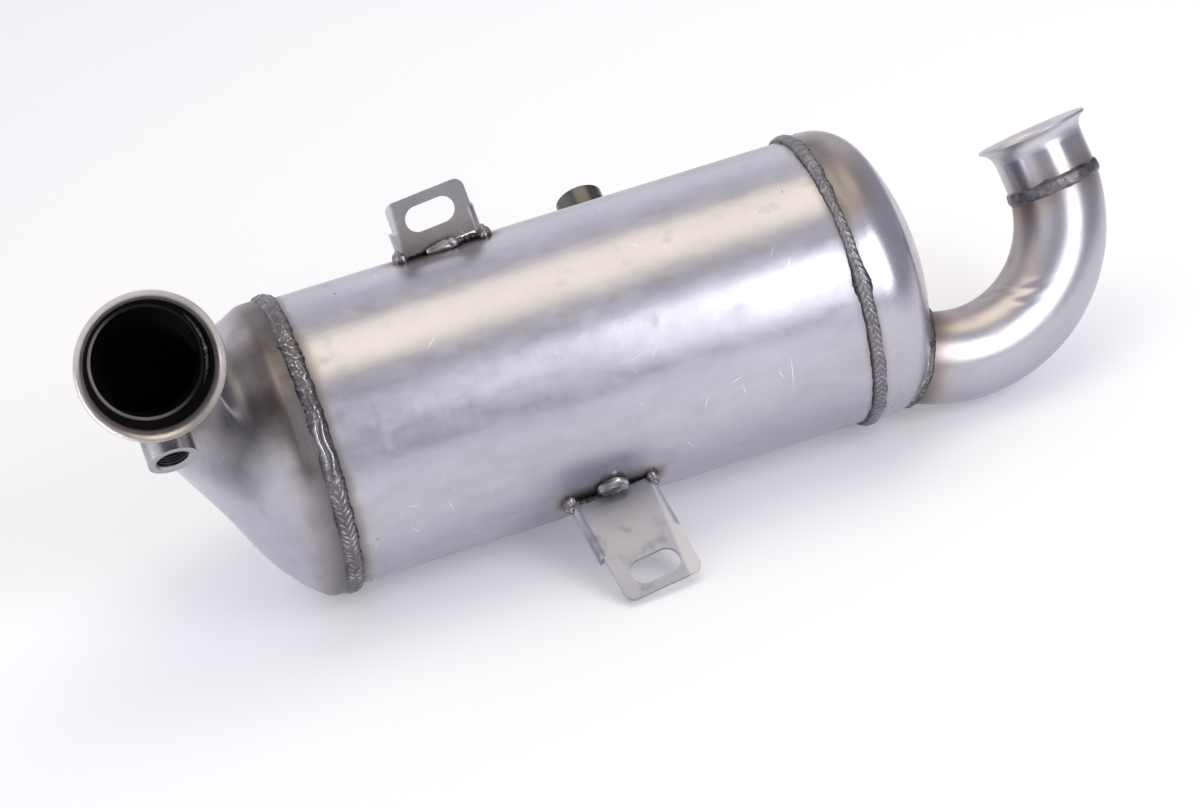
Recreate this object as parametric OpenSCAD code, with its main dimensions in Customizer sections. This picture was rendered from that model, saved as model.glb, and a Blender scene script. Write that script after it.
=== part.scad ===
// Diesel particulate filter: a stainless canister with a pressed inlet horn,
// a domed outlet end with a bent pipe, belled pipe collars, sensor bosses,
// two slotted brackets and a segmented ceramic filter held by a mat.
// The canister's axis runs along X from the inlet to the outlet end.
// A clock angle turns about that axis, from straight up toward the front.
// The origin is the middle of the inlet pipe's open rim.

/* [Canister] */
// Outer diameter of the rolled shell
shell_od = 154; // [140:1:170]
// Sheet thickness of the shell
shell_wall = 1.5; // [1:0.1:2.5]
// Length between the edges of the two end pieces
seam_span = 286.5; // [270:0.5:320]
// How far the shell reaches inside each end piece
shell_lap = 8; // [5:0.5:9]
// Sheet thickness of the two pressed ends
end_wall = 1.6; // [1.2:0.1:2.4]
// Play between pieces that slide together before welding
slip_fit = 0.1; // [0.05:0.05:0.2]

/* [Inlet horn] */
// Straight skirt of the horn over the shell
horn_skirt = 9.5; // [9.5:0.5:14]
// How far the inlet axis lies beyond the inlet seam
inlet_reach = 73; // [66:0.5:82]
// How far the inlet axis passes above the canister axis
inlet_offset = 77.5; // [64:0.5:84]
// Clock angle that the inlet points to
inlet_clock = 70; // [50:1:90]
// Height over the canister axis at which the round neck begins
neck_rise = 72; // [66:0.5:80]
// Length of the round neck
neck_length = 8; // [6:0.5:12]

/* [Inlet pipe] */
// Outer diameter of the inlet pipe
inlet_od = 57; // [50:0.5:60]
// Wall of both pipes and their collars
pipe_wall = 1.5; // [1.2:0.1:2]
// Length of the collar's sleeve on the pipe
sleeve_length = 10; // [8:0.5:14]
// Gap between the neck and the collar that the neck weld fills
neck_gap = 2; // [1:0.5:3]
// Radial step from the sleeve out to the barrel
barrel_step = 3.4; // [2:0.2:5]
// Length of the barrel behind the bell
barrel_length = 9; // [6:0.5:14]
// Diameter over the inlet lip
inlet_lip_od = 75.5; // [73:0.5:84]
// Angle that the bells turn outward
bell_turn = 72; // [55:1:80]

/* [Outlet dome] */
// Straight skirt of the dome over the shell
dome_skirt = 10; // [9.5:0.5:16]
// Radius of the dome's knuckle
knuckle_radius = 26; // [20:1:32]
// Radius of the dome's crown
crown_radius = 139; // [125:1:160]

/* [Outlet pipe] */
// Outer diameter of the outlet pipe
outlet_od = 49.5; // [42:0.5:54]
// Clock angle that the outlet bends toward
outlet_clock = -27; // [-60:1:0]
// How far below the canister axis the pipe leaves the dome
outlet_drop = 54; // [46:0.5:55]
// Radius of the bend, on its centre line
bend_radius = 71; // [62:1:84]
// Angle of the bend, from the dome's crown on
bend_angle = 116; // [90:1:125]
// Lean of the outlet collar past the end of the bend, cut as a mitre
collar_lean = 4.5; // [0:0.5:8]
// Length of the outlet collar
collar_length = 30; // [26:0.5:44]
// Diameter over the outlet lip
outlet_lip_od = 62.5; // [58:0.5:72]

/* [Sensor bosses] */
// Outer diameter of both bosses
boss_od = 25.5; // [22:0.5:28]
// Diameter of the threaded hole, at the crests
boss_bore = 16.4; // [12:0.1:18]
// Clock angle of the inlet boss
inlet_boss_clock = 127; // [120:1:132]
// Distance from the inlet axis to the inlet boss's face
inlet_boss_reach = 63.5; // [60:0.5:68]
// Height on the inlet axis that the inlet boss points away from
inlet_boss_root = 38; // [34:0.5:42]
// Clock angle of the shell boss
shell_boss_clock = -60; // [-80:1:-45]
// Place of the shell boss along the canister
shell_boss_x = 40; // [10:1:70]
// Height of the shell boss over the shell
shell_boss_height = 17; // [12:0.5:24]

/* [Brackets] */
// Sheet thickness of the brackets
bracket_wall = 2; // [1.5:0.1:3]
// Width of the brackets
bracket_width = 43; // [38:0.5:50]
// Depth of the bent side flanges
flange_depth = 8; // [6:0.5:12]
// Step from the tongue's edge out to the face of each flange
flange_step = 1.5; // [0:0.5:3]
// Length of the bracket slots
slot_length = 27; // [20:0.5:28]
// Width of the bracket slots
slot_width = 14; // [8:0.5:15]
// Distance from a slot's middle to the bracket's end
slot_edge = 12.5; // [11:0.5:16]
// Gap between the web of a bracket and the shell
root_gap = 3; // [1:0.5:4]
// Height of the upper bracket over the shell
upper_height = 32; // [30:0.5:40]
// Clock angle of the upper bracket
upper_clock = -15; // [-30:1:10]
// Place of the upper bracket along the canister
upper_x = -48; // [-80:1:-30]
// Lean of the upper bracket toward the inlet
upper_lean = 5; // [0:0.5:8]
// Height of the lower bracket over the shell
lower_height = 62; // [56:0.5:72]
// Clock angle of the lower bracket
lower_clock = 123; // [110:1:140]
// Place of the lower bracket along the canister
lower_x = -5; // [-30:1:20]
// Lean of the lower bracket toward the outlet
lower_lean = 7; // [0:0.5:9]

/* [Weld beads] */
// Width of the two canister seams
seam_bead_width = 8.6; // [6:0.2:9.4]
// Height of the canister seams over the end pieces
seam_bead_height = 1.8; // [1.2:0.1:2.6]
// Radius of the round pipe and boss beads
bead_radius = 2.6; // [2:0.1:3.2]
// Radius of the bracket tacks
tack_radius = 4.5; // [3.6:0.1:5.2]

/* [Filter] */
// Thickness of the mat between the filter and the shell
mat_thickness = 3.6; // [3:0.1:8]
// Length of the ceramic filter
filter_length = 254; // [220:1:256]
// Segments across the filter
segment_count = 4; // [3:1:5]
// Thickness of the cement joints
cement_joint = 1.2; // [0.8:0.1:2]
// Thickness of the cement skin
cement_skin = 1.5; // [1:0.1:2.5]
// How far the mat stops short of the filter's faces
mat_setback = 9; // [8:0.5:20]
// Width of the knitted wire rings at the mat's ends
seal_width = 6; // [4:0.5:8]
// Sheet thickness of the retaining rings
ring_wall = 1.5; // [1:0.1:2]
// How far the retaining rings reach over the filter's face
ring_cover = 6; // [4:0.5:10]
// Length of the retaining rings along the shell
ring_length = 9; // [6:0.5:14]

/* [Hidden] */
$fn = 96;
steel = "#b9b6bd";
weld_grey = "#77767c";
ceramic_grey = "#6f6a66";
cement_tan = "#a39a8c";
mat_white = "#e4dfd2";
// Extra length for cutting tools
over = 1;

shell_r = shell_od / 2;
seam_x = seam_span / 2;
shell_inner_r = shell_r - shell_wall;
// Sides of the horn's loft and its steps from station to station
horn_sides = 56;
horn_steps = 2;
// Facets of the horn's inner skin stay clear of the round pieces in it
horn_true = cos(180 / horn_sides);
cap_inner_r = shell_r + slip_fit;
cap_r = cap_inner_r + end_wall;
skirt_inner_r = cap_inner_r / horn_true;
skirt_r = skirt_inner_r + end_wall;
inlet_r = inlet_od / 2;
neck_inner_r = (inlet_r + slip_fit) / horn_true;
neck_r = neck_inner_r + end_wall;
neck_top = neck_rise + neck_length;
inlet_x = -seam_x - inlet_reach;
// Stations of the horn's loft between skirt and neck. Each is a share of the way:
// along the front line, of the neck's height there, along and across the back line,
// and along the lower and the upper line.
horn_stations = [
    [0.15, 1.085, 0.064, 0.005, 0.022, -0.02],
    [0.377, 1.028, 0.187, 0.035, 0.09, -0.18],
    [0.602, 0.951, 0.346, 0.101, 0.213, -0.27],
    [0.783, 0.896, 0.49, 0.204, 0.387, -0.13],
    [0.907, 0.875, 0.656, 0.357, 0.562, 0.214],
    [0.973, 0.889, 0.826, 0.576, 0.752, 0.593],
    [0.997, 0.938, 0.959, 0.801, 0.927, 0.903]];

sleeve_inner_r = inlet_r + slip_fit;
sleeve_r = sleeve_inner_r + pipe_wall;
sleeve_base = neck_top + neck_gap;
rim_height = sleeve_base + sleeve_length;
barrel_inner_r = sleeve_inner_r + barrel_step;
barrel_r = barrel_inner_r + pipe_wall;
barrel_base = rim_height + barrel_step * 1.6;
bell_base = barrel_base + barrel_length;
inlet_bell_r = (inlet_lip_od / 2 - barrel_r) / (1 - cos(bell_turn)) + pipe_wall * cos(bell_turn);
flare_weld_sweep = 76;

outlet_r = outlet_od / 2;
outlet_bell_r = (outlet_lip_od / 2 - outlet_r) / (1 - cos(bell_turn)) + pipe_wall * cos(bell_turn);
outlet_bell_base = collar_length - outlet_bell_r * sin(bell_turn);
butt_gap = 0.4;
knuckle_x = dome_skirt;
crown_x = knuckle_x - sqrt(pow(crown_radius - knuckle_radius, 2) - pow(cap_r - knuckle_radius, 2));
crown_edge = asin((cap_r - knuckle_radius) / (crown_radius - knuckle_radius));
// The knuckle's sector reaches this angle into the crown's
sector_overlap = 3;
outlet_tilt = asin(outlet_drop / crown_radius);
// Angles of the bend that lie inside the dome and that its hole spans
elbow_insert = 8;
elbow_hole = 22;

boss_r = boss_od / 2;
boss_bore_r = boss_bore / 2;
boss_chamfer = 1;
// Room that the mat leaves round the sensor's hole
mat_relief = 1.5;
// Length of the inlet boss before the horn's form is cut from its foot
inlet_boss_length = 40;

mat_inner_r = shell_inner_r - mat_thickness;
filter_od = 2 * mat_inner_r;
mat_length = filter_length - 2 * mat_setback;
seal_x = mat_length / 2;
ring_x = filter_length / 2;
segment_pitch = (filter_od - 2 * cement_skin + cement_joint) / segment_count;
segment_size = segment_pitch - cement_joint;

slot_r = slot_width / 2;
bend_inner_r = 2;
bend_outer_r = bend_inner_r + bracket_wall;
channel_half = bracket_width / 2 + flange_step;
corner_r = 5;
run_length = 20;
upper_flange = 0.5 * upper_height;
lower_flange = 0.54 * lower_height;

// Frames

// Puts the canister so that the inlet rim's middle is the origin
module placed() {
    rim = [inlet_x, inlet_offset * cos(inlet_clock) - rim_height * sin(inlet_clock),
        inlet_offset * sin(inlet_clock) + rim_height * cos(inlet_clock)];
    translate(-rim) children();
}

// A place on the canister: local Z points out at the clock angle
module at_clock(x, clock) {
    translate([x, 0, 0]) rotate([clock, 0, 0]) children();
}

// The inlet pipe's axis: local Z runs out of the mouth
module inlet_frame() {
    at_clock(inlet_x, inlet_clock) translate([0, inlet_offset, 0]) children();
}

// Square to the dome's crown where the outlet pipe leaves it
module outlet_base() {
    rotate([outlet_clock, 0, 0])
        translate([seam_x + crown_x, 0, 0])
        rotate([0, 90 + outlet_tilt, 0])
        translate([0, 0, crown_radius]) children();
}

// End of the outlet bend
module outlet_end() {
    outlet_base()
        translate([-bend_radius, 0, 0])
        rotate([0, -bend_angle, 0])
        translate([bend_radius, 0, 0]) children();
}

// Foot of the outlet collar: the bend's end leaned about the outside of its bead
module collar_foot() {
    outlet_end()
        translate([outlet_r + bead_radius, 0, 0])
        rotate([0, -collar_lean, 0])
        translate([-outlet_r - bead_radius, 0, 0]) children();
}

// The inlet boss's axis: local Z runs out of the boss, from the inlet axis
module inlet_boss_frame() {
    inlet_frame()
        translate([0, 0, inlet_boss_root])
        rotate([inlet_boss_clock - inlet_clock, 0, 0]) children();
}

// Shared shapes

module tube(outer_r, inner_r, length) {
    difference() {
        cylinder(r = outer_r, h = length);
        translate([0, 0, -over]) cylinder(r = inner_r, h = length + 2 * over);
    }
}

// Wall of a bell that starts on a tube of outer radius tube_r
module bell(tube_r, curve_r, base) {
    inner_curve = curve_r - pipe_wall;
    rotate_extrude()
        translate([tube_r + inner_curve, base])
        intersection() {
            difference() {
                circle(r = curve_r);
                circle(r = inner_curve);
            }
            polygon([[0, 0], [-2 * curve_r, 0],
                [-2 * curve_r * cos(bell_turn / 2), 2 * curve_r * sin(bell_turn / 2)],
                [-2 * curve_r * cos(bell_turn), 2 * curve_r * sin(bell_turn)]]);
        }
}

// Section of a dished end, filled: skirt, knuckle sector and crown sector
module dish_section(inset) {
    knuckle = knuckle_radius - inset;
    crown = crown_radius - inset;
    far = 2 * crown_radius;
    square([cap_r - inset, knuckle_x]);
    intersection() {
        translate([cap_r - knuckle_radius, knuckle_x]) circle(r = knuckle);
        translate([cap_r - knuckle_radius, knuckle_x])
            polygon([[0, 0], [far, 0], [far, far],
                [far * sin(crown_edge - sector_overlap), far * cos(crown_edge - sector_overlap)]]);
    }
    intersection() {
        translate([0, crown_x]) circle(r = crown);
        translate([0, crown_x])
            polygon([[0, 0], [far * sin(crown_edge), far * cos(crown_edge)], [0, far]]);
        square([far, far]);
    }
}

// The dished end as a filled form, its skin moved in by the inset
module dished_end(inset) {
    translate([seam_x, 0, 0]) rotate([0, 90, 0]) rotate_extrude() dish_section(inset);
}

// Lap bead over the edge of an end piece, its edge at height zero and the piece above
module seam_bead(piece_r) {
    rise = seam_bead_height + piece_r - shell_r;
    round_r = (pow(seam_bead_width / 2, 2) + rise * rise) / (2 * rise);
    rotate_extrude()
        difference() {
            translate([shell_r + rise - round_r, 0]) circle(r = round_r);
            translate([0, -2 * round_r]) square([shell_r, 4 * round_r]);
            square([piece_r, 2 * round_r]);
        }
}

// Boss with a chamfered mouth, its face at height zero
module sensor_boss(length) {
    difference() {
        translate([0, 0, -length]) cylinder(r = boss_r, h = length);
        translate([0, 0, -length - over]) cylinder(r = boss_bore_r, h = length + 2 * over);
        translate([0, 0, -boss_chamfer])
            cylinder(r1 = boss_bore_r, r2 = boss_bore_r + boss_chamfer + over, h = boss_chamfer + over);
    }
}

// Horn loft

// A station as lines: front x and height, back x and height, low and high
function horn_line(share) =
    let (front_end = inlet_reach - neck_r, back_end = inlet_reach + neck_r)
    [horn_skirt + share[0] * (front_end - horn_skirt),
        share[1] * neck_rise,
        horn_skirt + share[2] * (back_end - horn_skirt),
        -skirt_r + share[3] * (neck_rise + skirt_r),
        -skirt_r + share[4] * (inlet_offset - neck_r + skirt_r),
        skirt_r + share[5] * (inlet_offset + neck_r - skirt_r)];

function skirt_line(reach) = [reach, skirt_r, reach, -skirt_r, -skirt_r, skirt_r];

function neck_line(height) =
    [inlet_reach - neck_r, height, inlet_reach + neck_r, height,
        inlet_offset - neck_r, inlet_offset + neck_r];

// Smooth curve through b and c, with a and d beside them
function through(a, b, c, d, t) =
    b + t / 2 * (c - a)
    + t * t * (a - 2.5 * b + 2 * c - d / 2)
    + t * t * t * (1.5 * (b - c) + (d - a) / 2);

// Ring of points on one station's lines
function line_ring(line) =
    [for (i = [0 : horn_sides - 1])
        let (angle = 360 * i / horn_sides)
        [-seam_x - (line[0] + line[2]) / 2 - (line[0] - line[2]) / 2 * sin(angle),
            (line[4] + line[5]) / 2 + (line[5] - line[4]) / 2 * cos(angle),
            (line[1] + line[3]) / 2 + (line[1] - line[3]) / 2 * sin(angle)]];

// Rings of the outer skin, from the skirt's edge to the neck's end
function horn_rings() =
    let (lines = concat([skirt_line(0), skirt_line(horn_skirt)],
            [for (share = horn_stations) horn_line(share)],
            [neck_line(neck_rise), neck_line(neck_top)]))
    concat([line_ring(lines[0])],
        [for (k = [1 : len(lines) - 3], step = [0 : horn_steps - 1])
            line_ring(through(lines[k - 1], lines[k], lines[k + 1], lines[k + 2], step / horn_steps))],
        [line_ring(lines[len(lines) - 2]), line_ring(lines[len(lines) - 1])]);

function unit(v) = v / norm(v);

// The same skin moved out along its normals
function moved_rings(rings, distance) =
    let (last = len(rings) - 1)
    [for (k = [0 : last])
        [for (i = [0 : horn_sides - 1])
            let (along = rings[min(k + 1, last)][i] - rings[max(k - 1, 0)][i],
                round = rings[k][(i + 1) % horn_sides] - rings[k][(i + horn_sides - 1) % horn_sides])
            rings[k][i] + distance * unit(cross(along, round))]];

// Inner skin: the wall's thickness inside, true rings at the skirt and the neck
function inner_rings(rings) =
    let (moved = moved_rings(rings, -end_wall), last = len(rings) - 1)
    concat([round_ring_x(0), round_ring_x(horn_skirt)],
        [for (k = [2 : last - 2]) moved[k]],
        [round_ring_z(neck_rise), round_ring_z(neck_top)]);

function round_ring_x(reach) =
    [for (i = [0 : horn_sides - 1])
        let (angle = 360 * i / horn_sides)
        [-seam_x - reach, skirt_inner_r * cos(angle), skirt_inner_r * sin(angle)]];

function round_ring_z(height) =
    [for (i = [0 : horn_sides - 1])
        let (angle = 360 * i / horn_sides)
        [inlet_x + neck_inner_r * sin(angle), inlet_offset + neck_inner_r * cos(angle), height]];

function flat_list(rings) = [for (ring = rings) for (point = ring) point];

function reverse_list(list) = [for (i = [len(list) - 1 : -1 : 0]) list[i]];

// Triangles between two rings
function band(k, next) =
    [for (i = [0 : horn_sides - 1])
        let (j = (i + 1) % horn_sides, a = k * horn_sides, b = next * horn_sides)
        each [[a + i, a + j, b + j], [a + i, b + j, b + i]]];

module horn_wall() {
    outer = horn_rings();
    rings = concat(outer, reverse_list(inner_rings(outer)));
    count = len(rings);
    polyhedron(flat_list(rings), [for (k = [0 : count - 1]) each band(k, (k + 1) % count)]);
}

module horn_filled(grow) {
    rings = moved_rings(horn_rings(), grow);
    count = len(rings);
    last = (count - 1) * horn_sides;
    polyhedron(flat_list(rings),
        concat([for (k = [0 : count - 2]) each band(k, k + 1)],
            [[for (i = [0 : horn_sides - 1]) horn_sides - 1 - i]],
            [[for (i = [0 : horn_sides - 1]) last + i]]));
}

// Brackets

// Channel section: web with two bent flanges, the web's front face at zero
module channel_section() {
    half = channel_half;
    translate([-half + bend_outer_r, 0]) square([2 * (half - bend_outer_r), bracket_wall]);
    for (side = [0, 1])
        mirror([side, 0]) {
            translate([half - bracket_wall, bend_outer_r])
                square([bracket_wall, flange_depth - bend_outer_r]);
            translate([half - bend_outer_r, bend_outer_r])
                intersection() {
                    difference() {
                        circle(r = bend_outer_r);
                        circle(r = bend_inner_r);
                    }
                    translate([0, -bend_outer_r]) square(bend_outer_r);
                }
        }
}

// Flat end of the web, past the flanges, with a root strip inside the web
module bracket_tongue(base, tip) {
    half = bracket_width / 2;
    root_half = channel_half - bend_outer_r;
    translate([0, bracket_wall, 0]) rotate([90, 0, 0])
        linear_extrude(bracket_wall) {
            translate([-half, base]) square([bracket_width, tip - corner_r - base]);
            translate([-root_half, base - bracket_wall])
                square([2 * root_half, 2 * bracket_wall]);
            translate([-half + corner_r, base])
                square([bracket_width - 2 * corner_r, tip - base]);
            for (side = [-1, 1])
                translate([side * (half - corner_r), tip - corner_r]) circle(r = corner_r);
        }
}

// Bracket that stands on the shell: local Z points out, its front faces local minus Y
module bracket(height, lean, flange_length) {
    slot_z = shell_r + height - slot_edge;
    half_run = (slot_length - slot_width) / 2;
    half = channel_half;
    difference() {
        translate([0, 0, shell_r]) rotate([0, lean, 0]) translate([0, 0, -shell_r])
            difference() {
                union() {
                    translate([0, 0, shell_r - 2 * bracket_wall])
                        linear_extrude(flange_length + 2 * bracket_wall) channel_section();
                    bracket_tongue(shell_r + flange_length, shell_r + height);
                }
                for (side = [-1, 1])
                    translate([side * half_run, -over, slot_z]) rotate([-90, 0, 0])
                        cylinder(r = slot_r, h = bracket_wall + 2 * over);
                translate([-half_run, -over, slot_z - slot_r])
                    cube([2 * half_run, bracket_wall + 2 * over, slot_width]);
                translate([-half + bend_outer_r, -over, shell_r - 3 * bracket_wall])
                    cube([2 * (half - bend_outer_r), bracket_wall + 2 * over,
                        3 * bracket_wall + root_gap]);
            }
        rotate([0, 90, 0]) cylinder(r = shell_r, h = 4 * bracket_width, center = true);
    }
}

// Spindle along X, for a short run of weld
module weld_run(length, radius) {
    curve = (length * length / 4 + radius * radius) / (2 * radius);
    rotate([0, 90, 0]) rotate_extrude()
        intersection() {
            translate([radius - curve, 0]) circle(r = curve);
            translate([0, -length]) square([curve, 2 * length]);
        }
}

// Welds at the root of a bracket: one run in front of the web, a tack beside each flange
module bracket_tacks(lean) {
    half = channel_half;
    difference() {
        translate([0, 0, shell_r + root_gap / 2]) weld_run(run_length, tack_radius);
        translate([-run_length, 0, shell_r - 2 * tack_radius])
            cube([2 * run_length, 2 * tack_radius, 4 * tack_radius]);
        rotate([0, 90, 0]) cylinder(r = shell_r, h = 4 * bracket_width, center = true);
    }
    for (side = [-1, 1])
        difference() {
            translate([side * half, bend_outer_r, shell_r]) sphere(r = tack_radius);
            translate([0, 0, shell_r]) rotate([0, lean, 0])
                translate([-half, -2 * tack_radius, -2 * tack_radius])
                cube([2 * half, 6 * tack_radius, 4 * tack_radius]);
            rotate([0, 90, 0]) cylinder(r = shell_r, h = 4 * bracket_width, center = true);
        }
}

// Filter segments

module filter_round(inset, length) {
    rotate([0, 90, 0]) cylinder(r = filter_od / 2 - inset, h = length, center = true);
}

module segment_block(row, column, size, length) {
    middle = (segment_count - 1) / 2;
    translate([0, (column - middle) * segment_pitch, (row - middle) * segment_pitch])
        cube([length, size, size], center = true);
}

// Sub-parts

module filter_shell() {
    color(steel)
        difference() {
            translate([-seam_x - shell_lap, 0, 0]) rotate([0, 90, 0])
                tube(shell_r, shell_inner_r, seam_span + 2 * shell_lap);
            at_clock(shell_boss_x, shell_boss_clock) cylinder(r = boss_bore_r, h = shell_od);
        }
}

module inlet_cone() {
    color(steel)
        difference() {
            rotate([inlet_clock, 0, 0]) horn_wall();
            inlet_boss_frame() cylinder(r = boss_bore_r, h = inlet_boss_reach);
        }
}

module inlet_pipe() {
    color(steel)
        inlet_frame() translate([0, 0, neck_rise])
            tube(inlet_r, inlet_r - pipe_wall, rim_height - neck_rise);
}

module inlet_flare() {
    color(steel)
        inlet_frame() {
            rotate_extrude()
                polygon([[sleeve_inner_r, sleeve_base], [sleeve_r, sleeve_base], [sleeve_r, rim_height],
                    [barrel_r, barrel_base], [barrel_r, bell_base], [barrel_inner_r, bell_base],
                    [barrel_inner_r, barrel_base], [sleeve_inner_r, rim_height]]);
            bell(barrel_r, inlet_bell_r, bell_base);
        }
}

module inlet_flare_weld() {
    color(weld_grey)
        inlet_frame() translate([0, 0, rim_height]) rotate([0, 0, -flare_weld_sweep / 2])
            rotate_extrude(angle = flare_weld_sweep)
            polygon([[inlet_r - pipe_wall / 2, 0], [sleeve_inner_r, 0],
                [sleeve_inner_r + barrel_step * 0.6, barrel_step * 0.96],
                [inlet_r, barrel_step * 0.9]]);
}

module inlet_neck_weld() {
    color(weld_grey)
        inlet_frame() translate([0, 0, neck_top + neck_gap / 2])
            rotate_extrude()
            difference() {
                translate([sleeve_r - bead_radius / 2, 0]) circle(r = bead_radius);
                translate([0, -2 * bead_radius]) square([inlet_r, 4 * bead_radius]);
                translate([0, neck_gap / 2]) square([sleeve_r, 2 * bead_radius]);
                translate([0, -neck_gap / 2 - 2 * bead_radius]) square([neck_r, 2 * bead_radius]);
            }
}

module inlet_sensor_boss() {
    color(steel)
        difference() {
            inlet_boss_frame() translate([0, 0, inlet_boss_reach]) sensor_boss(inlet_boss_length);
            rotate([inlet_clock, 0, 0]) horn_filled(0);
        }
}

module inlet_boss_weld() {
    color(weld_grey)
        difference() {
            intersection() {
                inlet_boss_frame() translate([0, 0, inlet_boss_reach - inlet_boss_length])
                    tube(boss_r + bead_radius, boss_r, inlet_boss_length);
                rotate([inlet_clock, 0, 0]) horn_filled(bead_radius);
            }
            rotate([inlet_clock, 0, 0]) horn_filled(0);
        }
}

module outlet_dome() {
    color(steel)
        difference() {
            dished_end(0);
            dished_end(end_wall);
            outlet_rod(outlet_r + slip_fit, -elbow_hole, elbow_hole);
        }
}

// Bent rod on the outlet's centre line, between two angles from the dome's crown
module outlet_rod(radius, from_angle, to_angle) {
    outlet_base()
        translate([-bend_radius, 0, 0]) rotate([90, 0, 0]) rotate([0, 0, from_angle])
        rotate_extrude(angle = to_angle - from_angle)
        translate([bend_radius, 0]) circle(r = radius);
}

// Section swept round the outlet bend, from inside the dome to the bend's end
module bend_sweep() {
    outlet_base()
        translate([-bend_radius, 0, 0]) rotate([90, 0, 0]) rotate([0, 0, -elbow_insert])
        rotate_extrude(angle = bend_angle + elbow_insert)
        translate([bend_radius, 0]) children();
}

// Room past the mitre, where the collar takes over from the bend
module past_mitre() {
    collar_foot() cylinder(r = 2 * outlet_r, h = outlet_r);
}

module outlet_elbow() {
    color(steel)
        difference() {
            bend_sweep()
                difference() {
                    circle(r = outlet_r);
                    circle(r = outlet_r - pipe_wall);
                }
            past_mitre();
        }
}

// Bead that follows the dome round the foot of the outlet pipe
module elbow_weld() {
    color(weld_grey)
        difference() {
            intersection() {
                outlet_rod(outlet_r + bead_radius, -elbow_hole, elbow_hole);
                dished_end(-bead_radius);
            }
            outlet_rod(outlet_r, -2 * elbow_hole, 2 * elbow_hole);
            dished_end(0);
        }
}

module outlet_flare() {
    color(steel)
        collar_foot() translate([0, 0, butt_gap]) {
            tube(outlet_r, outlet_r - pipe_wall, outlet_bell_base);
            bell(outlet_r, outlet_bell_r, outlet_bell_base);
        }
}

module outlet_flare_weld() {
    color(weld_grey)
        difference() {
            collar_foot() translate([0, 0, butt_gap / 2])
                rotate_extrude() {
                    intersection() {
                        translate([outlet_r - bead_radius / 2, 0]) circle(r = bead_radius);
                        translate([outlet_r, -2 * bead_radius]) square(4 * bead_radius);
                    }
                    translate([outlet_r - pipe_wall, -butt_gap / 2]) square([pipe_wall, butt_gap]);
                }
            difference() {
                bend_sweep() circle(r = outlet_r);
                past_mitre();
            }
        }
}

module inlet_seam_weld() {
    color(weld_grey) translate([-seam_x, 0, 0]) rotate([0, -90, 0]) seam_bead(skirt_r);
}

module outlet_seam_weld() {
    color(weld_grey) translate([seam_x, 0, 0]) rotate([0, 90, 0]) seam_bead(cap_r);
}

module shell_sensor_boss() {
    color(steel)
        difference() {
            at_clock(shell_boss_x, shell_boss_clock) translate([0, 0, shell_r + shell_boss_height])
                sensor_boss(shell_boss_height + boss_r / 4);
            rotate([0, 90, 0]) cylinder(r = shell_r, h = seam_span, center = true);
        }
}

module shell_boss_weld() {
    color(weld_grey)
        difference() {
            at_clock(shell_boss_x, shell_boss_clock) translate([0, 0, shell_r - bead_radius])
                tube(boss_r + bead_radius, boss_r, 2 * bead_radius);
            rotate([0, 90, 0]) cylinder(r = shell_r, h = seam_span, center = true);
        }
}

module upper_bracket() {
    color(steel)
        at_clock(upper_x, upper_clock) bracket(upper_height, -upper_lean, upper_flange);
}

module upper_bracket_welds() {
    color(weld_grey)
        at_clock(upper_x, upper_clock) bracket_tacks(-upper_lean);
}

module lower_bracket() {
    color(steel)
        at_clock(lower_x, lower_clock) mirror([0, 1, 0])
            bracket(lower_height, lower_lean, lower_flange);
}

module lower_bracket_welds() {
    color(weld_grey)
        at_clock(lower_x, lower_clock) mirror([0, 1, 0])
            bracket_tacks(lower_lean);
}

// Segments of the wall flow filter, solid where the real one has fine cells
module filter_segments() {
    color(ceramic_grey)
        for (row = [0 : segment_count - 1], column = [0 : segment_count - 1])
            intersection() {
                segment_block(row, column, segment_size, filter_length);
                filter_round(cement_skin, filter_length);
            }
}

module segment_cement() {
    color(cement_tan)
        difference() {
            filter_round(0, filter_length);
            for (row = [0 : segment_count - 1], column = [0 : segment_count - 1])
                intersection() {
                    segment_block(row, column, segment_size, filter_length + over);
                    filter_round(cement_skin, filter_length + over);
                }
        }
}

module support_mat() {
    color(mat_white)
        difference() {
            translate([-mat_length / 2, 0, 0]) rotate([0, 90, 0])
                tube(shell_inner_r, mat_inner_r, mat_length);
            at_clock(shell_boss_x, shell_boss_clock)
                cylinder(r = boss_bore_r + mat_relief, h = shell_od);
        }
}

module mat_seal() {
    rotate([0, 90, 0]) tube(shell_inner_r, mat_inner_r, seal_width);
}

module inlet_mat_seal() {
    color(steel) translate([-seal_x - seal_width, 0, 0]) mat_seal();
}

module outlet_mat_seal() {
    color(steel) translate([seal_x, 0, 0]) mat_seal();
}

module retaining_ring() {
    rotate([0, 90, 0])
        rotate_extrude() {
            translate([mat_inner_r - ring_cover, 0])
                square([shell_inner_r - mat_inner_r + ring_cover, ring_wall]);
            translate([shell_inner_r - ring_wall, 0]) square([ring_wall, ring_length]);
        }
}

module inlet_retaining_ring() {
    color(steel) translate([-ring_x, 0, 0]) mirror([1, 0, 0]) retaining_ring();
}

module outlet_retaining_ring() {
    color(steel) translate([ring_x, 0, 0]) retaining_ring();
}

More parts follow.
